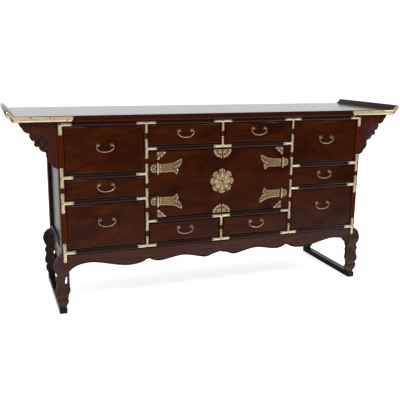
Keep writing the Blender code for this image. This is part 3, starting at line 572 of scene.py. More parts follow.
def soften(points, rounds):
    """Cuts the corners of a line, again and again, until it reads as a curve. Its ends stay."""
    for _ in range(rounds):
        cut = []
        for (a, b), (c, d) in zip(points, points[1:]):
            cut += [(a * 0.75 + c * 0.25, b * 0.75 + d * 0.25), (a * 0.25 + c * 0.75, b * 0.25 + d * 0.75)]
        points = [points[0], *cut, points[-1]]
    return points


def mirrored(outline, side):
    return [(side * a, b) for a, b in outline]


def rectangle(a0, b0, a1, b1):
    return [(a0, b0), (a1, b0), (a1, b1), (a0, b1)]


def mm(*points):
    return [(a / 1000, b / 1000) for a, b in points]


print("outline helpers ready")

# %% [markdown]
# ## The top board
# One plank whose ends roll up like a scroll. The end is drawn as a few points, its corners are cut until the
# roll is smooth, and the whole outline is extruded from front to back with eased rims. A thin bead runs along
# the lower front edge between the two brass straps.

# %% Model the top
STRAP_REACH, STRAP_SLANT = 0.27, 0.0135
END_POINTS = (
    (0.029, -1.0), (0.024, -0.86), (0.019, -0.5), (0.015, -0.31), (0.0095, -0.24), (0.003, 0.05), (0.0, 0.48),
    (0.003, 0.82), (0.01, 1.0), (0.016, 0.9), (0.022, 0.64), (0.036, 0.0),
)
TIP = top_high.x
EDGE_Y = top_low.y
WOOD_EDGE = EDGE_Y + 0.001
BEAD_X = TIP - STRAP_REACH - 0.01
BEAD_LOW, BEAD_HIGH = TOP_UNDER + 0.0012, TOP_UNDER + 0.0066


def end_spot(inset, share):
    return (TIP - inset, TOP_HEIGHT + share * (END_RISE if share > 0 else TOP_THICK))


rolled = [end_spot(*END_POINTS[0])] + soften([end_spot(*p) for p in END_POINTS[1:]], 2)
board_outline = rolled + [(-a, b) for a, b in reversed(rolled)]
bm = fresh(plate, board_outline, top_high.y, WOOD_EDGE, 0.0012, 2)
keep_wood("top_board", bm, top_wood, ["table_top"])
bead = rectangle(-BEAD_X, BEAD_LOW, BEAD_X, BEAD_HIGH)
keep_wood("top_edge_bead", fresh(plate, bead, WOOD_EDGE + 0.002, WOOD_EDGE - 0.0016, 0.0022, 4), rail_wood)
print("top board", round(2 * TIP, 3), "m long with", len(board_outline), "outline points")

# %% [markdown]
# ## Brass straps on the ends of the top
# A stamped brass strap covers the front edge from the rolled tip inwards and ends on a slant. It is a sheet with
# the same outline as the board's end. Its rim is let into the wood, and its face rises to a soft crown. The finish
# darkens the sloping rim with patina and painted shade, so that a thin dark line runs round it. A few nails hold
# it.

# %% Model the edge straps
STRAP_LOW, STRAP_HIGH = TOP_UNDER + 0.0004, TOP_HEIGHT + END_RISE
strap_outline = [(a - 0.0004, min(max(b, STRAP_LOW), STRAP_HIGH)) for a, b in rolled]
strap_outline += [(TIP - STRAP_REACH, TOP_HEIGHT - 0.0003), (TIP - STRAP_REACH + STRAP_SLANT, STRAP_LOW)]
EDGE_RISES = ((0.0024, 0.0024), (0.002, 0.0011), (0.003, 0.0006))
EDGE_BACK, EDGE_BASE, EDGE_NAIL = WOOD_EDGE + 0.0035, EDGE_Y + 0.0024, EDGE_Y - 0.0014
EDGE_NAILS = (
    (0.262, 0.005), (0.237, 0.019), (0.171, 0.007), (0.097, 0.006), (0.03, 0.016), (0.01, -0.012),
)
for side, word in SIDES:
    bm = fresh(domed, mirrored(strap_outline, side), EDGE_BACK, EDGE_BASE, EDGE_RISES, even=False)
    keep_brass(word + "_edge_strap", bm, strap_brass)
    spots = [(side * (TIP - inset), EDGE_NAIL, TOP_HEIGHT - drop) for inset, drop in EDGE_NAILS]
    keep_brass(word + "_edge_nails", fresh(studs, spots, 0.0032, 0.5), dark_brass)
print("two edge straps")

# %% [markdown]
# ## Rounded frame members
# The rails, stiles and dividers show a front edge rounded over like half a rod. So each has one soft line of
# light along its middle and a dark seam on both sides, which the finish deepens with painted shade. A rounded
# member is a block whose two long front edges are bevelled with a wide, many-sided bevel.

# %% Model the rails
CROWN = 0.0085


def board(bm, low, high, crown=0.0, along="X"):
    """A block from low to high, with the front edges that run this way rounded over."""
    made = bmesh.ops.create_cube(bm, size=1)["verts"]
    bmesh.ops.scale(bm, vec=Vector(high) - Vector(low), verts=made)
    bmesh.ops.translate(bm, vec=(Vector(low) + Vector(high)) / 2, verts=made)
    if not crown:
        return
    axis = "XYZ".index(along)
    front = [
        e for e in {e for v in made for e in v.link_edges}
        if all(v.co.y < low[1] + 1e-6 for v in e.verts) and abs(e.verts[0].co[axis] - e.verts[1].co[axis]) > 1e-4
    ]
    bmesh.ops.bevel(bm, geom=front, offset=crown, segments=6, profile=0.5, affect="EDGES", material=-1)


RAIL_NODES = ["top_rail", "bottom_board"]
RAIL_NODES += [f"{bay}_{tier}_shelf" for bay in ("left", "centre", "right") for tier in ("upper", "lower")]
for node in RAIL_NODES:
    low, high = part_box(node)
    finish = rail_wood if node == "top_rail" else shaded_shelf_wood
    bm = fresh(board, low, high, min(CROWN, (high.z - low.z) * 0.42), "X")
    keep_wood(node + "_rounded", bm, finish, [node])
print("rails:", len(RAIL_NODES))

# %% Model the stiles, jambs and dividers
STILE_DEPTH = 0.03
PANEL_HALF, LAP = 0.006, 0.001
RAIL_CLEAR, TOP_CLEAR, DOOR_CLEAR = 0.0123, 0.0113, 0.0013
MOULDING_LOW, MOULDING_HIGH, MOULDING_DEPTH = CASE_UNDER + 0.01, CASE_UNDER + 0.032, 0.014
STILE_HALF = STILE_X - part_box("centre_upper_shelf")[1].x - SEAM
STILE_BACK = FRONT + STILE_DEPTH
inside_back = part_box("left_partition")[1].y
door_low, door_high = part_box("left_door")


def stile(x, low, high, back):
    """A rounded stile with the thin panel that runs back from it."""
    bm = fresh(board, (x - STILE_HALF, FRONT, low), (x + STILE_HALF, STILE_BACK, high), CROWN, "Z")
    board(bm, (x - PANEL_HALF, STILE_BACK - LAP, low), (x + PANEL_HALF, back, high))
    return bm


for side, word in SIDES:
    low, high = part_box(word + "_partition")
    x = side * STILE_X
    bm = stile(x, low.z, high.z, inside_back)
    keep_wood(word + "_partition_rounded", bm, post_wood, [word + "_partition"])
    jamb = sorted((side * (abs(door_low.x) + DOOR_CLEAR), x - side * (STILE_HALF - LAP)))
    jamb_low = (jamb[0], FACE, RAIL["centre_lower"] + RAIL_CLEAR)
    jamb_high = (jamb[1], STILE_BACK - 2 * LAP, RAIL["centre_upper"] - RAIL_CLEAR)
    keep_wood(word + "_door_jamb", fresh(board, jamb_low, jamb_high, 0.0015, "Z"), front_wood)
    panel_low, panel_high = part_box(word + "_side_panel")
    band = rectangle(panel_low.y, MOULDING_LOW, panel_high.y, MOULDING_HIGH)
    bm = fresh(plate, band, side * (POST_OUT - MOULDING_DEPTH), side * POST_OUT, 0.008, 5, "X")
    keep_wood(word + "_side_moulding", bm, leg_wood)
DIVIDERS = (
    ("upper", RAIL["centre_upper"] + RAIL_CLEAR, RAIL["top"] - TOP_CLEAR),
    ("lower", RAIL["bottom"] + RAIL_CLEAR, RAIL["centre_lower"] - RAIL_CLEAR),
)
for word, low, high in DIVIDERS:
    bm = stile(0.0, low, high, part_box(word + "_divider")[1].y)
    keep_wood(word + "_divider_rounded", bm, post_wood, [word + "_divider"])
print("stiles and dividers: 4, stile half width", round(STILE_HALF, 4))

# %% [markdown]
# ## Joint straps
# Where a rail meets a post or a partition, a small cast strap with three arms covers the joint. Its face is
# rounded like half a rod, so it catches the light from every side. A strap is drawn once for each kind of joint,
# with a stem and an arm, and turned to suit its place. A nail near the end of each arm and one in the middle
# hold it.

# %% Draw the joint straps
POST_STRAP, STILE_STRAP = 0.0082, 0.0068
STRAP_RISES = ((0.0015, 0.0017), (0.0018, 0.0011), (0.0016, 0.0004))
STRAP_BASE, STRAP_BACK, STRAP_NAIL = FRONT, FRONT + 0.007, FRONT - 0.0028


def tee_outline(stem, arm, half):
    """Across first, along second: a waisted stem of this half length with a leaf-shaped arm to one side."""
    w, n, v = half, half * 0.45, half * 0.9
    a, k = half * 0.92, half * 0.76
    return [
        (-n, -stem), (n, -stem), (w, n - stem), (w, -stem * 0.6), (v, -k - 0.002), (v + 0.002, -k),
        (arm * 0.62, -a), (arm - n, -a), (arm, -n), (arm, n), (arm - n, a), (arm * 0.62, a), (v + 0.002, k),
        (v, k + 0.002), (w, stem * 0.6), (w, stem - n), (n, stem), (-n, stem), (-w, stem - n),
        (-w, stem * 0.6), (-v, 0.0), (-w, -stem * 0.6), (-w, n - stem),
    ]


def ell_outline(drop, arm, half):
    w, n, a = half, half * 0.45, half * 0.92
    return [
        (-n, -drop), (n, -drop), (w, n - drop), (w, -a - 0.003), (w + 0.003, -a), (arm - n, -a), (arm, -n),
        (arm, n), (arm - n, a), (-w + 0.002, a), (-w, a - 0.002), (-w, n - drop),
    ]


STEM, ARM = 0.043, 0.047
TEE_NAILS = ((0, -0.036), (0, 0.036), (0.04, 0), (0, 0))
POST_TEE = tee_outline(STEM, ARM, POST_STRAP), TEE_NAILS
STILE_TEE = tee_outline(STEM, ARM, STILE_STRAP), TEE_NAILS
FOOT_TEE = tee_outline(0.044, 0.045, STILE_STRAP), ((0, -0.037), (0, 0.037), (0.038, 0), (0, 0))
POST_ELL = ell_outline(0.044, 0.0486, POST_STRAP), ((0, -0.037), (0.042, 0), (0, 0))
print("a tee has", len(POST_TEE[0]), "points, an ell", len(POST_ELL[0]))

# %% Set the joint straps
STILE_JOINTS = (("centre_upper", -1), ("side_upper", 1), ("side_lower", 1), ("centre_lower", -1))
FOOT_JOINTS = (("top", -1), ("bottom", 1))
MIDDLE_JOINTS = (("top", -1), ("centre_upper", 1), ("centre_lower", -1), ("bottom", 1))


def joint_strap(name, drawn, x, rail, turn):
    """A strap with its nails; turn maps a drawn point to X and Z offsets from the joint."""
    outline, nails = ([(x + dx, RAIL[rail] + dz) for dx, dz in (turn(*p) for p in points)] for points in drawn)
    keep_brass(name, fresh(domed, outline, STRAP_BACK, STRAP_BASE, STRAP_RISES), strap_brass)
    spots = [(a, STRAP_NAIL, b) for a, b in nails]
    keep_brass(name + "_nails", fresh(studs, spots, 0.003, 0.6), dark_brass)


def sideways(way):
    return lambda a, b: (way * a, b)


def upright(way):
    return lambda a, b: (b, way * a)


for side, word in SIDES:
    for rail in ("side_upper", "side_lower", "bottom"):
        joint_strap(f"{word}_post_strap_{rail}", POST_TEE, side * POST_X, rail, sideways(-side))
    joint_strap(f"{word}_post_strap_top", POST_ELL, side * POST_X, "top", sideways(-side))
    for rail, way in STILE_JOINTS:
        joint_strap(f"{word}_stile_strap_{rail}", STILE_TEE, side * STILE_X, rail, sideways(side * way))
for rail, way in FOOT_JOINTS:
    for side, word in SIDES:
        joint_strap(f"{word}_stile_foot_strap_{rail}", FOOT_TEE, side * STILE_X, rail, upright(way))
for rail, way in MIDDLE_JOINTS:
    joint_strap(f"divider_foot_strap_{rail}", FOOT_TEE, 0.0, rail, upright(way))
print("joint straps:", 2 * 8 + 2 * len(FOOT_JOINTS) + len(MIDDLE_JOINTS))

# %% [markdown]
# ## Drawers
# The frame's drawer is one solid, but on a bench it is a figured front, a plain box behind it and two brass
# roses that carry the bail. Each drawer is remade as these pieces, from the box of the frame's own drawer and
# from the pivot of its bail.

# %% Model the drawers
FRONT_THICK = 0.02
FRONT_LIFT = 0.0012
BOX_WALL, BOX_FLOOR = 0.01, 0.008
BOX_SIDE, BOX_DROP = 0.001, 0.012
PIVOT = {joint["child"]: Vector(joint["pos_m"]) for joint in frame["joints"] if "pos_m" in joint}
POST_SPREAD = 0.0295
ROSE = mm(
    (0, 1), (7.4, 1), (7.8, -0.8), (7.1, -2), (6, -1.4), (5, -0.8), (3.8, -2), (2.9, -4), (2.7, -6.2), (3.2, -7.6),
    (3.4, -9.2), (2.9, -11), (1.6, -12), (0, -12.3),
)
DRAWERS = [name for name in frame["nodes"] if name.endswith("_drawer")]


def drawer_box(bm, low, high):
    """An open tray: a block whose top is inset and pushed down to the floor board."""
    board(bm, low, high)
    lid = max(bm.faces, key=lambda f: f.calc_center_median().z)
    bmesh.ops.inset_region(bm, faces=[lid], thickness=BOX_WALL)
    sunk = bmesh.ops.extrude_discrete_faces(bm, faces=[lid])["faces"]
    fall = Vector((0, 0, low.z + BOX_FLOOR - high.z))
    bmesh.ops.translate(bm, vec=fall, verts=sunk[0].verts)


for name in DRAWERS:
    low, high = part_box(name)
    pivot = PIVOT[name.replace("drawer", "bail")]
    rim = rectangle(low.x, low.z + FRONT_LIFT, high.x, high.z)
    bm = fresh(plate, rim, FACE + FRONT_THICK, FACE, 0.0024, 3)
    keep(name + "_front", bm, front_wood, name, [name])
    box_low = Vector((low.x + BOX_SIDE, FACE + FRONT_THICK - LAP, low.z))
    box_high = Vector((high.x - BOX_SIDE, high.y, high.z - BOX_DROP))
    keep(name + "_box", fresh(drawer_box, box_low, box_high), lining_wood, name)
    bm = bmesh.new()
    for way in (-1, 1):
        turned(bm, ROSE, "Y", Vector((pivot.x + way * POST_SPREAD, FACE, pivot.z)))
    keep_brass(name + "_roses", bm, handle_brass, name)
print("drawers:", len(DRAWERS))

# %% [markdown]
# ## Bails
# Each handle is a bent rod, thin at the ends that turn in the posts and fuller at the bottom, where the fingers
# pull. A curve with a bevel bends a round rod along a few points, each with its own radius, and is then made
# a mesh so that it can be baked.

# %% Model the bails
ROD = 0.0019


def baked(rough):
    """What an object with a curve or a modifier evaluates to, as a bmesh. The object itself goes."""
    bpy.context.scene.collection.objects.link(rough)
    bpy.context.view_layer.update()
    mesh = bpy.data.meshes.new_from_object(rough.evaluated_get(bpy.context.evaluated_depsgraph_get()))
    bm = bmesh.new()
    bm.from_mesh(mesh)
    bpy.data.objects.remove(rough)
    bpy.data.meshes.remove(mesh)
    return bm


def bent_rod(points, radii, straight):
    """A rod along these points, as a bmesh. It doesn't bend at the points that are named straight."""
    curve = bpy.data.curves.new("rod", "CURVE")
    curve.dimensions = "3D"
    curve.bevel_depth = 1.0
    curve.bevel_resolution = 4
    curve.use_fill_caps = True
    curve.resolution_u = 8
    line = curve.splines.new("BEZIER")
    line.bezier_points.add(len(points) - 1)
    for k, spot in enumerate(line.bezier_points):
        spot.co, spot.radius = points[k], radii[k]
        kind = "VECTOR" if k in straight or k - len(points) in straight else "AUTO"
        spot.handle_left_type = spot.handle_right_type = kind
    return baked(bpy.data.objects.new("rod", curve))


BAIL_HALF = (
    (0.0233, 0.0, 1.05), (0.034, 0.0, 0.9), (0.0364, -0.0029, 0.9), (0.037, -0.0086, 0.92),
    (0.0327, -0.0174, 1.0), (0.0198, -0.0257, 1.1), (0.004, -0.0286, 1.15),
)
BAIL_MIDDLE = (0.0, -0.029, 1.2)
bail_path = [(-a, b, share) for a, b, share in BAIL_HALF] + [BAIL_MIDDLE, *reversed(BAIL_HALF)]
for name in DRAWERS:
    bail = name.replace("drawer", "bail")
    points = [PIVOT[bail] + Vector((a, 0, b)) for a, b, share in bail_path]
    bm = bent_rod(points, [ROD * share for a, b, share in bail_path], (0, 1, -1, -2))
    keep_brass(bail + "_rod", bm, handle_brass, bail, [bail])
print("bails:", len(DRAWERS))

# %% [markdown]
# ## Strap hinges
# A hinge has a long strap on the door, which flares into a fish tail, and a round leaf on the jamb. The pin's
# barrel stands between them with a ball at each end. The strap is drawn once and flipped for the lower hinges.
# Its field is sunk inside a rim, where it keeps a darker patina, and carries ribs, a rose, beads and dark discs
# painted as the shadow in its piercings.

# %% Draw the hinges
STRAP_DRAWN = mm(
    (6.2, 18.5), (26, 18.0), (45, 18.6), (60, 20.2), (72, 22.6), (83, 26.2), (92, 30.6), (100, 35.5), (110, 40),
    (111.5, 35.5), (111.5, 29), (109.5, 22), (106, 15), (102, 9), (98.5, 4), (95, 2.6), (92.5, 5.2), (88, 6.6),
    (86.5, 3.0), (88.5, -1.5), (92.5, -4.5), (95.5, -8.5), (96, -13.5), (94.2, -19), (91.5, -25), (88.5, -30.5),
    (85.5, -29), (82, -22.8), (76, -18.8), (69, -17.0), (56, -16.8), (40, -17.4), (6.2, -18.5), (6.2, -7.6),
    (1.0, -7.6), (1.0, 7.6), (6.2, 7.6),
)
LEAF_DRAWN = mm(
    (1.0, 17.5), (6.4, 18.8), (12, 19.3), (18, 19), (22.5, 17.4), (26, 15), (29, 11.3), (31, 7), (32.2, 3.5),
    (32.5, 0),
)
LEAF_DRAWN += [(a, -b) for a, b in reversed(LEAF_DRAWN[:-1])]
LEAF_DRAWN += mm((1.0, -8.5), (6.4, -8.5), (6.4, 8.5), (1.0, 8.5))
BARREL = mm(
    (0, 8), (4.9, 8.2), (5, 9), (5, 18), (4.6, 18.7), (3, 19.2), (2.8, 19.8), (4.1, 21), (4.5, 22.6), (4, 24.2),
    (2.4, 25.3), (0, 25.6),
)
RING = mm((0, -7.8), (4.6, -7.8), (5, -7), (5, 7), (4.6, 7.8), (0, 7.8))
TAIL_ROSE = mm((0, 2), (5, 2), (5, -0.2), (4, -1), (3.2, -0.2), (2.6, -1.2), (1.4, -2), (0, -2.2))
STRAP_NAILS = [(12.5, b, 3.2) for b in (13.0, 4.6, -4.6, -13.0)]
STRAP_RIBS = ((0.016, 0.07, 0.0092), (0.016, 0.066, 0.0004), (0.016, 0.066, -0.0086))
RIB_HALF = 0.0009
TAIL_BEADS = (
    (96.0, 5.6, 3.2), (90.2, -8.0, 3.2), (91.5, -14.5, 3.0), (107.0, 34.5, 3.0), (88.0, -26.0, 3.0),
    (102.0, 12.5, 2.8), (106.5, 20.0, 2.8), (99.0, 31.5, 2.4), (91.0, 27.0, 2.4), (83.5, -20.5, 2.4),
    (88.0, 3.6, 2.6),
)
TAIL_HOLES = (
    (78.0, 1.0, 7.4), (100.0, 21.5, 3.4), (104.5, 27.5, 2.4), (87.0, -18.5, 2.6), (94.0, 14.5, 2.6),
    (88.0, 14.0, 2.0), (83.0, -9.5, 2.2),
)
print("hinge strap drawn with", len(STRAP_DRAWN), "points, its leaf with", len(LEAF_DRAWN))

# %% Model the hinges
SHEET_BACK, SHEET_FRONT = FACE - SEAM, FACE - 0.0021
hinge_brass = brass_finish("hinge_brass", (0.78, 0.52, 0.245), (0.54, 0.345, 0.155), 0.3, 0.44, 0.8)
deep_patina_and_shade(hinge_brass, (0.27, 0.17, 0.077), 0.0, -SHEET_FRONT, 0.0009, 0.0002)


def strap_plate(spot):
    """The strap, with its field sunk inside the rim."""
    bm = fresh(plate, [spot(a, b) for a, b in STRAP_DRAWN], SHEET_BACK, SHEET_FRONT, 0.0006, 2)
    bmesh.ops.recalc_face_normals(bm, faces=bm.faces)
    flat = [f for f in bm.faces if abs(f.normal.y) > 0.99 and f.calc_center_median().y < SHEET_BACK - 1e-5]
    field = max(flat, key=lambda f: f.calc_area())
    for width, lift in ((0.0026, 0), (0.0008, -0.001)):
        bmesh.ops.inset_region(bm, faces=[field], thickness=width, depth=lift, use_even_offset=False)
    return bm


def strap_studs(spot):
    """Nails by the pin, the rose of the tail, three ribs and the beads of the tail."""
    bm = fresh(beads, STRAP_NAILS, spot, SHEET_FRONT + 0.0004)
    x, z = spot(0.078, 0.001)
    turned(bm, TAIL_ROSE, "Y", Vector((x, SHEET_FRONT, z)), 18)
    for start, stop, level in STRAP_RIBS:
        (x0, z), (x1, z) = spot(start, level), spot(stop, level)
        rib = rectangle(x0, z - RIB_HALF, x1, z + RIB_HALF)
        plate(bm, rib, SHEET_BACK - 0.0004, SHEET_FRONT + 0.0001, 0.0004, 1)
    beads(bm, TAIL_BEADS, spot, SHEET_FRONT + 0.0003)
    return bm


def ring_of(centre, wide, tall, shift, depth):
    """Eight spots on an upright oval."""
    turns = [math.pi * (k + shift) / 4 for k in range(8)]
    return [(centre[0] + wide * math.cos(t), depth, centre[1] + tall * math.sin(t)) for t in turns]


def hinge(side, word, tier, flip):
    label, door = f"{word}_{tier}_hinge", word + "_door"
    pin = PIVOT[door].copy()
    pin.z = middle_height(label + "_leaf")
    spot = lambda a, b: (pin.x - side * a, pin.z + flip * b)
    rose = (pin.x + side * 0.0185, pin.z)
    keep_brass(label + "_strap_plate", strap_plate(spot), hinge_brass, door, [label + "_strap"])
    keep_brass(label + "_knuckle", fresh(turned, RING, "Z", pin, 20), strap_brass, door)
    keep_brass(label + "_strap_studs", strap_studs(spot), stud_brass, door)
    leaf = [(pin.x + side * a, pin.z + b) for a, b in LEAF_DRAWN]
    bm = fresh(plate, leaf, SHEET_BACK, SHEET_FRONT, 0.0006, 2)
    keep_brass(label + "_leaf_plate", bm, dark_brass, "carcass", [label + "_leaf"])
    bm = bmesh.new()
    for way in (-1, 1):
        turned(bm, [(r, way * d) for r, d in BARREL], "Z", pin, 20)
    keep_brass(label + "_barrel", bm, strap_brass)
    bm = fresh(studs, ring_of(rose, 0.0098, 0.0125, 0.5, SHEET_FRONT + 0.0004), 0.003)
    studs(bm, [(rose[0], SHEET_FRONT + 0.0002, rose[1])], 0.0032, 0.6)
    keep_brass(label + "_leaf_beads", bm, stud_brass)
    # Dark discs painted as the shadow in the piercings of the leaf and of the strap.
    bm = fresh(studs, ring_of(rose, 0.0062, 0.008, 0.0, SHEET_FRONT), 0.0021, 0.2)
    keep_brass(label + "_leaf_piercings", bm, hole_shadow)
    bm = fresh(beads, TAIL_HOLES, spot, SHEET_FRONT + 0.0008, 0.25)
    keep_brass(label + "_strap_piercings", bm, hole_shadow, door)


for side, word in SIDES:
    for tier, flip in (("upper", 1), ("lower", -1)):
        hinge(side, word, tier, flip)
print("hinges: 4")

# %% [markdown]
# ## The medallion
# Where the doors meet, a round plate with eight lobes is split down the middle, so that each door carries half.
# Every lobe has two raised leaves and three beads on its rim, with dark discs between the lobes that are painted
# as the shadow in pierced holes. One lobe is modelled and turned eight times, and the whole is then cut by the
# meeting line.

# %% Define the medallion's helpers
MEDALLION_Z = middle_height("left_medallion")
MEDALLION_R = 0.0565
MEET = abs(door_high.x)
SPLIT = 0.0002
LOBES = 8


def lobed(share, ripple):
    points = []
    for k in range(LOBES * 12):
        turn = 2 * math.pi * k / (LOBES * 12)
        reach = MEDALLION_R * share * (1 - ripple * (1 - abs(math.cos(LOBES / 2 * turn)) ** 0.7))
        points.append((reach * math.cos(turn), MEDALLION_Z + reach * math.sin(turn)))
    return points


def on_medallion(radius, turn, lift):
    return (radius * math.cos(turn), SHEET_BACK - lift, MEDALLION_Z + radius * math.sin(turn))


def cut_flat(bm, at, normal, **cleared):
    """Cuts a mesh by a plane, clears one side and closes the cut."""
    everything = bm.verts[:] + bm.edges[:] + bm.faces[:]
    cut = bmesh.ops.bisect_plane(bm, geom=everything, dist=1e-6, plane_co=at, plane_no=normal, **cleared)
    bmesh.ops.holes_fill(bm, edges=[g for g in cut["geom_cut"] if isinstance(g, bmesh.types.BMEdge)])


print("medallion", round(2 * MEDALLION_R, 4), "m across")

# %% Model the medallion
LOBE_TURNS = [2 * math.pi * k / LOBES for k in range(LOBES)]
HUB = mm((0, 0), (15, 0), (15, -3), (13.8, -4), (12.2, -3.2), (11.2, -2.2), (6, -2.2), (0, -2.2))


def medallion_plate(bm):
    plate(bm, lobed(1.0, 0.3), SHEET_BACK, SHEET_BACK - 0.0016, 0.0008, 2)
    plate(bm, lobed(0.64, 0.14), SHEET_BACK - 0.001, SHEET_BACK - 0.0024, 0.001, 3)


def medallion_leaves(bm):
    for turn in LOBE_TURNS:
        ball(bm, 0.007, on_medallion(0.028, turn, 0.0018), (1.75, 0.4, 1.05), -turn, 20)
        ball(bm, 0.0056, on_medallion(0.047, turn, 0.0012), (0.85, 0.34, 1.05), -turn, 16)
    turned(bm, HUB, "Y", Vector((0, SHEET_BACK - 0.001, MEDALLION_Z)), 32)


def medallion_beads(bm):
    for turn in LOBE_TURNS:
        for step, reach in ((-0.235, 0.05), (0.0, 0.054), (0.235, 0.05)):
            ball(bm, 0.0036, on_medallion(reach, turn + step, 0.0016), (1, 0.75, 1))
    ball(bm, 0.0046, on_medallion(0.04, math.pi / 2, 0.0034), (3.4, 0.6, 0.9), -math.pi / 2, 16)


# Dark discs painted as the shadow in the piercings and at the hub.
def medallion_holes(bm):
    for lobe in LOBE_TURNS:
        turn = lobe + math.pi / LOBES
        ball(bm, 0.0034, on_medallion(0.0395, turn, 0.0015), (1.5, 0.18, 0.9), -turn)
        for step in (-0.16, 0.16):
            ball(bm, 0.0018, on_medallion(0.044, lobe + step, 0.003), (1.4, 0.3, 0.8), -turn)
    ball(bm, 0.0052, on_medallion(0.0, 0.0, 0.0033), (1.0, 0.06, 1.0))


for side, word in SIDES:
    for label, step, finish, stands_for in (
        ("plate", medallion_plate, mid_brass, [word + "_medallion"]),
        ("leaves", medallion_leaves, aged_brass, []),
        ("beads", medallion_beads, stud_brass, []),
        ("holes", medallion_holes, hole_shadow, []),
    ):
        bm = fresh(step)
        cut_flat(bm, (side * SPLIT, 0, 0), (side, 0, 0), clear_inner=True)
        keep_brass(f"{word}_medallion_{label}", bm, finish, word + "_door", stands_for)
print("medallion halves: 2, lobes:", LOBES)

# %% [markdown]
# ## Pulls
# Each half of the medallion has a bright knob, and a thin drop hangs from it and leans towards the other one,
# so that the two together look like a small loop.

# %% Model the pulls
PULL_ROD = 0.0013
PULL_PATH = (
    (0.0052, 0, 1.0), (-0.0045, 0, 1.0), (-0.0073, -0.004, 1.0), (-0.009, -0.0105, 1.2), (-0.0108, -0.017, 1.5),
)
KNOB = mm(
    (0, 0), (4, 0), (3.6, -4), (3, -5.6), (4, -7), (4.6, -9.2), (4, -11.4), (2.2, -12.8), (0, -13.2),
)
for side, word in SIDES:
    pivot = PIVOT[word + "_pull"]
    bm = fresh(turned, KNOB, "Y", Vector((pivot.x, FACE - 0.001, pivot.z)), 20)
    keep_brass(word + "_pull_knob", bm, knob_brass, word + "_door")
    points = [pivot + Vector((side * a, 0, b)) for a, b, share in PULL_PATH]
    bm = bent_rod(points, [PULL_ROD * share for a, b, share in PULL_PATH], (0, 1))
    ball(bm, 0.0026, points[-1])
    keep_brass(word + "_pull_drop", bm, strap_brass, word + "_pull", [word + "_pull"])
print("pulls: 2")

# %% [markdown]
# ## Corner and half-round ornaments on the doors
# Thin pierced sheets fill the outer corners of the doors and the two ends of the meeting line. Each is a plate
# with a scalloped free edge, a few dark discs painted as the shadow in its piercings, and a bead on every lobe.

# %% Model the door ornaments
CORNER = mm(
    (1, 1), (41, 1), (42, 4), (39, 9), (33, 11), (29, 13.5), (28, 19), (24, 23), (18, 23.5), (15, 26), (14, 31),
    (10, 35), (4, 36.5), (1, 35.5),
)
CORNER_BEADS = (
    (36, 5.5, 4.2), (23.0, 17.5, 4.2), (7.5, 30.5, 4.2), (8, 8, 4.2), (31, 9.5, 3.0), (12.5, 27.0, 3.0),
)
CORNER_HOLES = ((15, 15, 4.2), (25, 6.5, 3.2), (6.0, 20.5, 3.2))
QUARTER = mm(
    (0.6, 1), (41, 1), (41.5, 6), (38, 11), (36, 16), (37, 20), (33, 24.5), (28.5, 26), (26, 29), (24, 33),
    (18, 35), (13.5, 34.5), (10, 37), (6, 40.5), (0.6, 41),
)
QUARTER_BEADS = (
    (36.0, 5.5, 4.4), (32.5, 18.5, 4.4), (20.5, 29.5, 4.4), (6.0, 35.0, 4.4), (14, 5.5, 3.4), (6, 14, 3.4),
    (37.5, 12.5, 2.6), (28.0, 25.0, 2.6), (12.5, 33.5, 2.6),
)
QUARTER_HOLES = ((24.5, 8.5, 4.4), (20.0, 19.0, 3.6), (8.5, 24.5, 4.4))
ORNAMENT_FRONT = SHEET_BACK - 0.0013


def ornament(name, outline, bead_rows, hole_rows, spot, body):
    bm = fresh(plate, [spot(a, b) for a, b in outline], SHEET_BACK, ORNAMENT_FRONT, 0.0005, 2)
    keep_brass(name, bm, mid_brass, body)
    keep_brass(name + "_beads", fresh(beads, bead_rows, spot, ORNAMENT_FRONT, 0.7), stud_brass, body)
    # The piercings are dark discs painted as their shadow.
    keep_brass(name + "_piercings", fresh(beads, hole_rows, spot, ORNAMENT_FRONT, 0.14), hole_shadow, body)


for side, word in SIDES:
    for tier, edge, way in (("upper", door_high.z, -1), ("lower", door_low.z, 1)):
        outer = side * abs(door_low.x)
        ornament(
            f"{word}_{tier}_corner", CORNER, CORNER_BEADS, CORNER_HOLES,
            lambda a, b: (outer - side * a, edge + way * b), word + "_door",
        )
        ornament(
            f"{word}_{tier}_half_round", QUARTER, QUARTER_BEADS, QUARTER_HOLES,
            lambda a, b: (side * (MEET + a), edge + way * b), word + "_door",
        )
print("door ornaments: 8")

# %% [markdown]
# ## Carved wood
# Legs and brackets were sawn to shape and then rounded and grooved by hand. A copy of the frame's piece is
# rebuilt as an even skin of small squares, smoothed, and pressed in along chosen lines, which is what a gouge
# does. The straight post above each leg stays a plain eased block.

# %% Define the carving helpers


def even_skin(name, bm, size):
    """Rebuilds a closed mesh from squares of one size."""
    mesh = closed_mesh(name, bm)
    rough = bpy.data.objects.new(name, mesh)
    skin = rough.modifiers.new("skin", "REMESH")
    skin.mode = "VOXEL"
    skin.voxel_size = size
    made = baked(rough)
    bpy.data.meshes.remove(mesh)
    return made


def smooth(bm, rounds):
    for _ in range(rounds):
        bmesh.ops.smooth_vert(bm, verts=bm.verts, factor=0.5, use_axis_x=True, use_axis_y=True, use_axis_z=True)
    bm.normal_update()


def distance_to(line, a, b):
    """Shortest distance from a point to a chain of straight stretches."""
    best = 1.0
    for (x0, y0), (x1, y1) in zip(line, line[1:]):
        dx, dy = x1 - x0, y1 - y0
        share = ((a - x0) * dx + (b - y0) * dy) / (dx * dx + dy * dy)
        share = min(max(share, 0.0), 1.0)
        best = min(best, math.hypot(a - x0 - share * dx, b - y0 - share * dy))
    return best


def groove(distance, middle, half_width):
    return math.exp(-(((distance - middle) / half_width) ** 2))


print("carving helpers ready")

# %% [markdown]
# ## Legs and posts
# Two grooves follow the scroll along the edge of each leg's broad sides. The leg is cut from the copy just above
# the case's underside, where the post takes over.

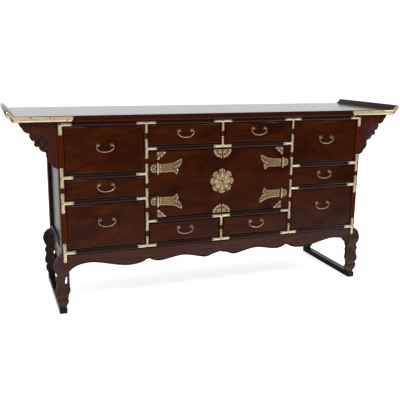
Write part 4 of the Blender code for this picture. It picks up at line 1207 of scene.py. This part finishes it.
# %% Carve the legs
SCROLL = mm(
    (40, 27.3), (42, 40), (46, 54), (43, 66), (48, 78), (50, 94), (45, 106), (52, 120), (57, 138), (52, 150),
    (60, 160), (64, 176), (60, 188), (72, 194), (84, 206), (80, 216), (92, 222), (99, 236), (100, 260),
)
SCROLL_GROOVES = ((0.0019, 0.0065), (0.0015, 0.0135))
GOUGE = 0.002
LEG_CUT, CARVED_TO = 0.2625, 0.25
POST_DEPTH = 0.046
CARVED_SHARP = 60.0
for side, word in SIDES:
    for end, edge, turn in (("front", FRONT, 1), ("rear", REAR, -1)):
        node = f"{end}_{word}_leg"
        bm = bmesh.new()
        bm.from_mesh(frame["nodes"][node].data)
        bmesh.ops.remove_doubles(bm, verts=bm.verts, dist=1e-6)
        cut_flat(bm, (0, 0, LEG_CUT), (0, 0, 1), clear_outer=True)
        bm = even_skin(node, bm, 0.0021)
        smooth(bm, 3)
        line = [(edge + turn * a, b) for a, b in SCROLL]
        for v in bm.verts:
            if abs(v.normal.x) > 0.55 and v.co.z < CARVED_TO:
                away = distance_to(line, v.co.y, v.co.z)
                v.co -= v.normal * sum(deep * groove(away, at, GOUGE) for deep, at in SCROLL_GROOVES)
        smooth(bm, 1)
        # The rear leg and post take the darker lacquer as painted shade.
        finish = leg_wood if end == "front" else shaded_rear_wood
        keep_wood(node + "_carved", bm, finish, [node], CARVED_SHARP)
        x0, x1 = sorted((side * POST_IN, side * POST_OUT))
        block = rectangle(x0, CASE_UNDER, x1, TOP_UNDER - SEAM)
        finish = post_wood if end == "front" else shaded_rear_wood
        bm = fresh(plate, block, edge + turn * POST_DEPTH, edge, 0.003, 4)
        keep_wood(f"{end}_{word}_post", bm, finish)
print("legs: 4")

# %% [markdown]
# ## Brackets
# The bed of each bracket lies a little back from its rim. A fan of slanting flutes swells over three lobes there,
# and a groove along the edge of the bed sets it off from the plain rim.

# %% Carve the brackets
BED_EDGE = mm((120, -50), (104, -45.5), (69, -49), (45, -61), (35, -83), (35, -103), (39, -124), (40, -140))
BED_DEPTH = 0.0028
NOTCH, LOBE, FLUTE = 0.0145, 0.0257, 0.0086
FLUTE_RISE, FLUTE_SINK, BED_GROOVE = 0.0062, 0.0016, 0.0024
for side, word in SIDES:
    node = word + "_bracket"
    bm = bmesh.new()
    bm.from_mesh(frame["nodes"][node].data)
    bm = even_skin(node, bm, 0.0013)
    smooth(bm, 2)
    low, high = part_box(node)
    for v in bm.verts:
        if v.normal.y < -0.4 and v.co.y > low.y + BED_DEPTH:
            out, rise = side * v.co.x - POST_OUT, v.co.z - TOP_UNDER
            across = 0.75 * out + 0.66 * rise - NOTCH
            bulge = 0.55 + 0.45 * abs(math.sin(math.pi * across / LOBE))
            v.co.y -= FLUTE_RISE * bulge * math.sin(math.pi * across / FLUTE) ** 2 - FLUTE_SINK
            v.co.y += BED_GROOVE * groove(distance_to(BED_EDGE, out, rise), 0.0035, 0.0025)
    keep_wood(node + "_carved", bm, bracket_wood, [node], CARVED_SHARP)
print("brackets: 2")

# %% [markdown]
# ## Apron
# The board under the case has a cusped lower edge. Its outline is drawn as shares of the half length and of the
# drop, softened into curves and extruded with an eased rim. A painted shadow line runs along the sawn edge: a
# second board in the dark lacquer, set back behind the face board, hangs a little lower and shows as a thin dark
# rim.

# %% Model the apron
apron_low, apron_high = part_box("front_apron")
APRON_HALF = apron_high.x
APRON_DROP = apron_high.z - apron_low.z
APRON_RIM, RIM_HANG, RIM_SET_BACK = 0.0056, 0.0025, 0.002
CUSPS = (
    (1.0, 1.0), (0.985, 0.86), (0.955, 0.66), (0.915, 0.56), (0.87, 0.52), (0.83, 0.55), (0.76, 0.7),
    (0.69, 0.86), (0.635, 0.94), (0.58, 0.93), (0.53, 0.82), (0.495, 0.61), (0.46, 0.79), (0.425, 0.86),
    (0.38, 0.82), (0.32, 0.7), (0.27, 0.63), (0.22, 0.68), (0.17, 0.79), (0.13, 0.89), (0.1, 0.92),
    (0.075, 0.87), (0.05, 0.76), (0.025, 0.72), (0.0, 0.65),
)


def apron_outline(lift):
    """The apron's outline with its cusped edge lifted by this much."""
    edge = [(APRON_HALF * a, apron_high.z - share * APRON_DROP + lift) for a, share in CUSPS]
    half = [(APRON_HALF, apron_high.z), *soften(edge, 1)]
    return half + [(-a, b) for a, b in reversed(half[:-1])]


bm = fresh(plate, apron_outline(APRON_RIM), apron_high.y, apron_low.y, 0.0012, 2)
keep_wood("front_apron_board", bm, apron_wood, ["front_apron"])
# A dark board that paints a shadow line under the cusped edge.
bm = fresh(plate, apron_outline(-RIM_HANG), apron_high.y - 0.001, apron_low.y + RIM_SET_BACK, 0.0012, 2)
keep_wood("front_apron_shadow_rim", bm, shaded_rear_wood)
print("apron with", len(apron_outline(0.0)), "outline points")
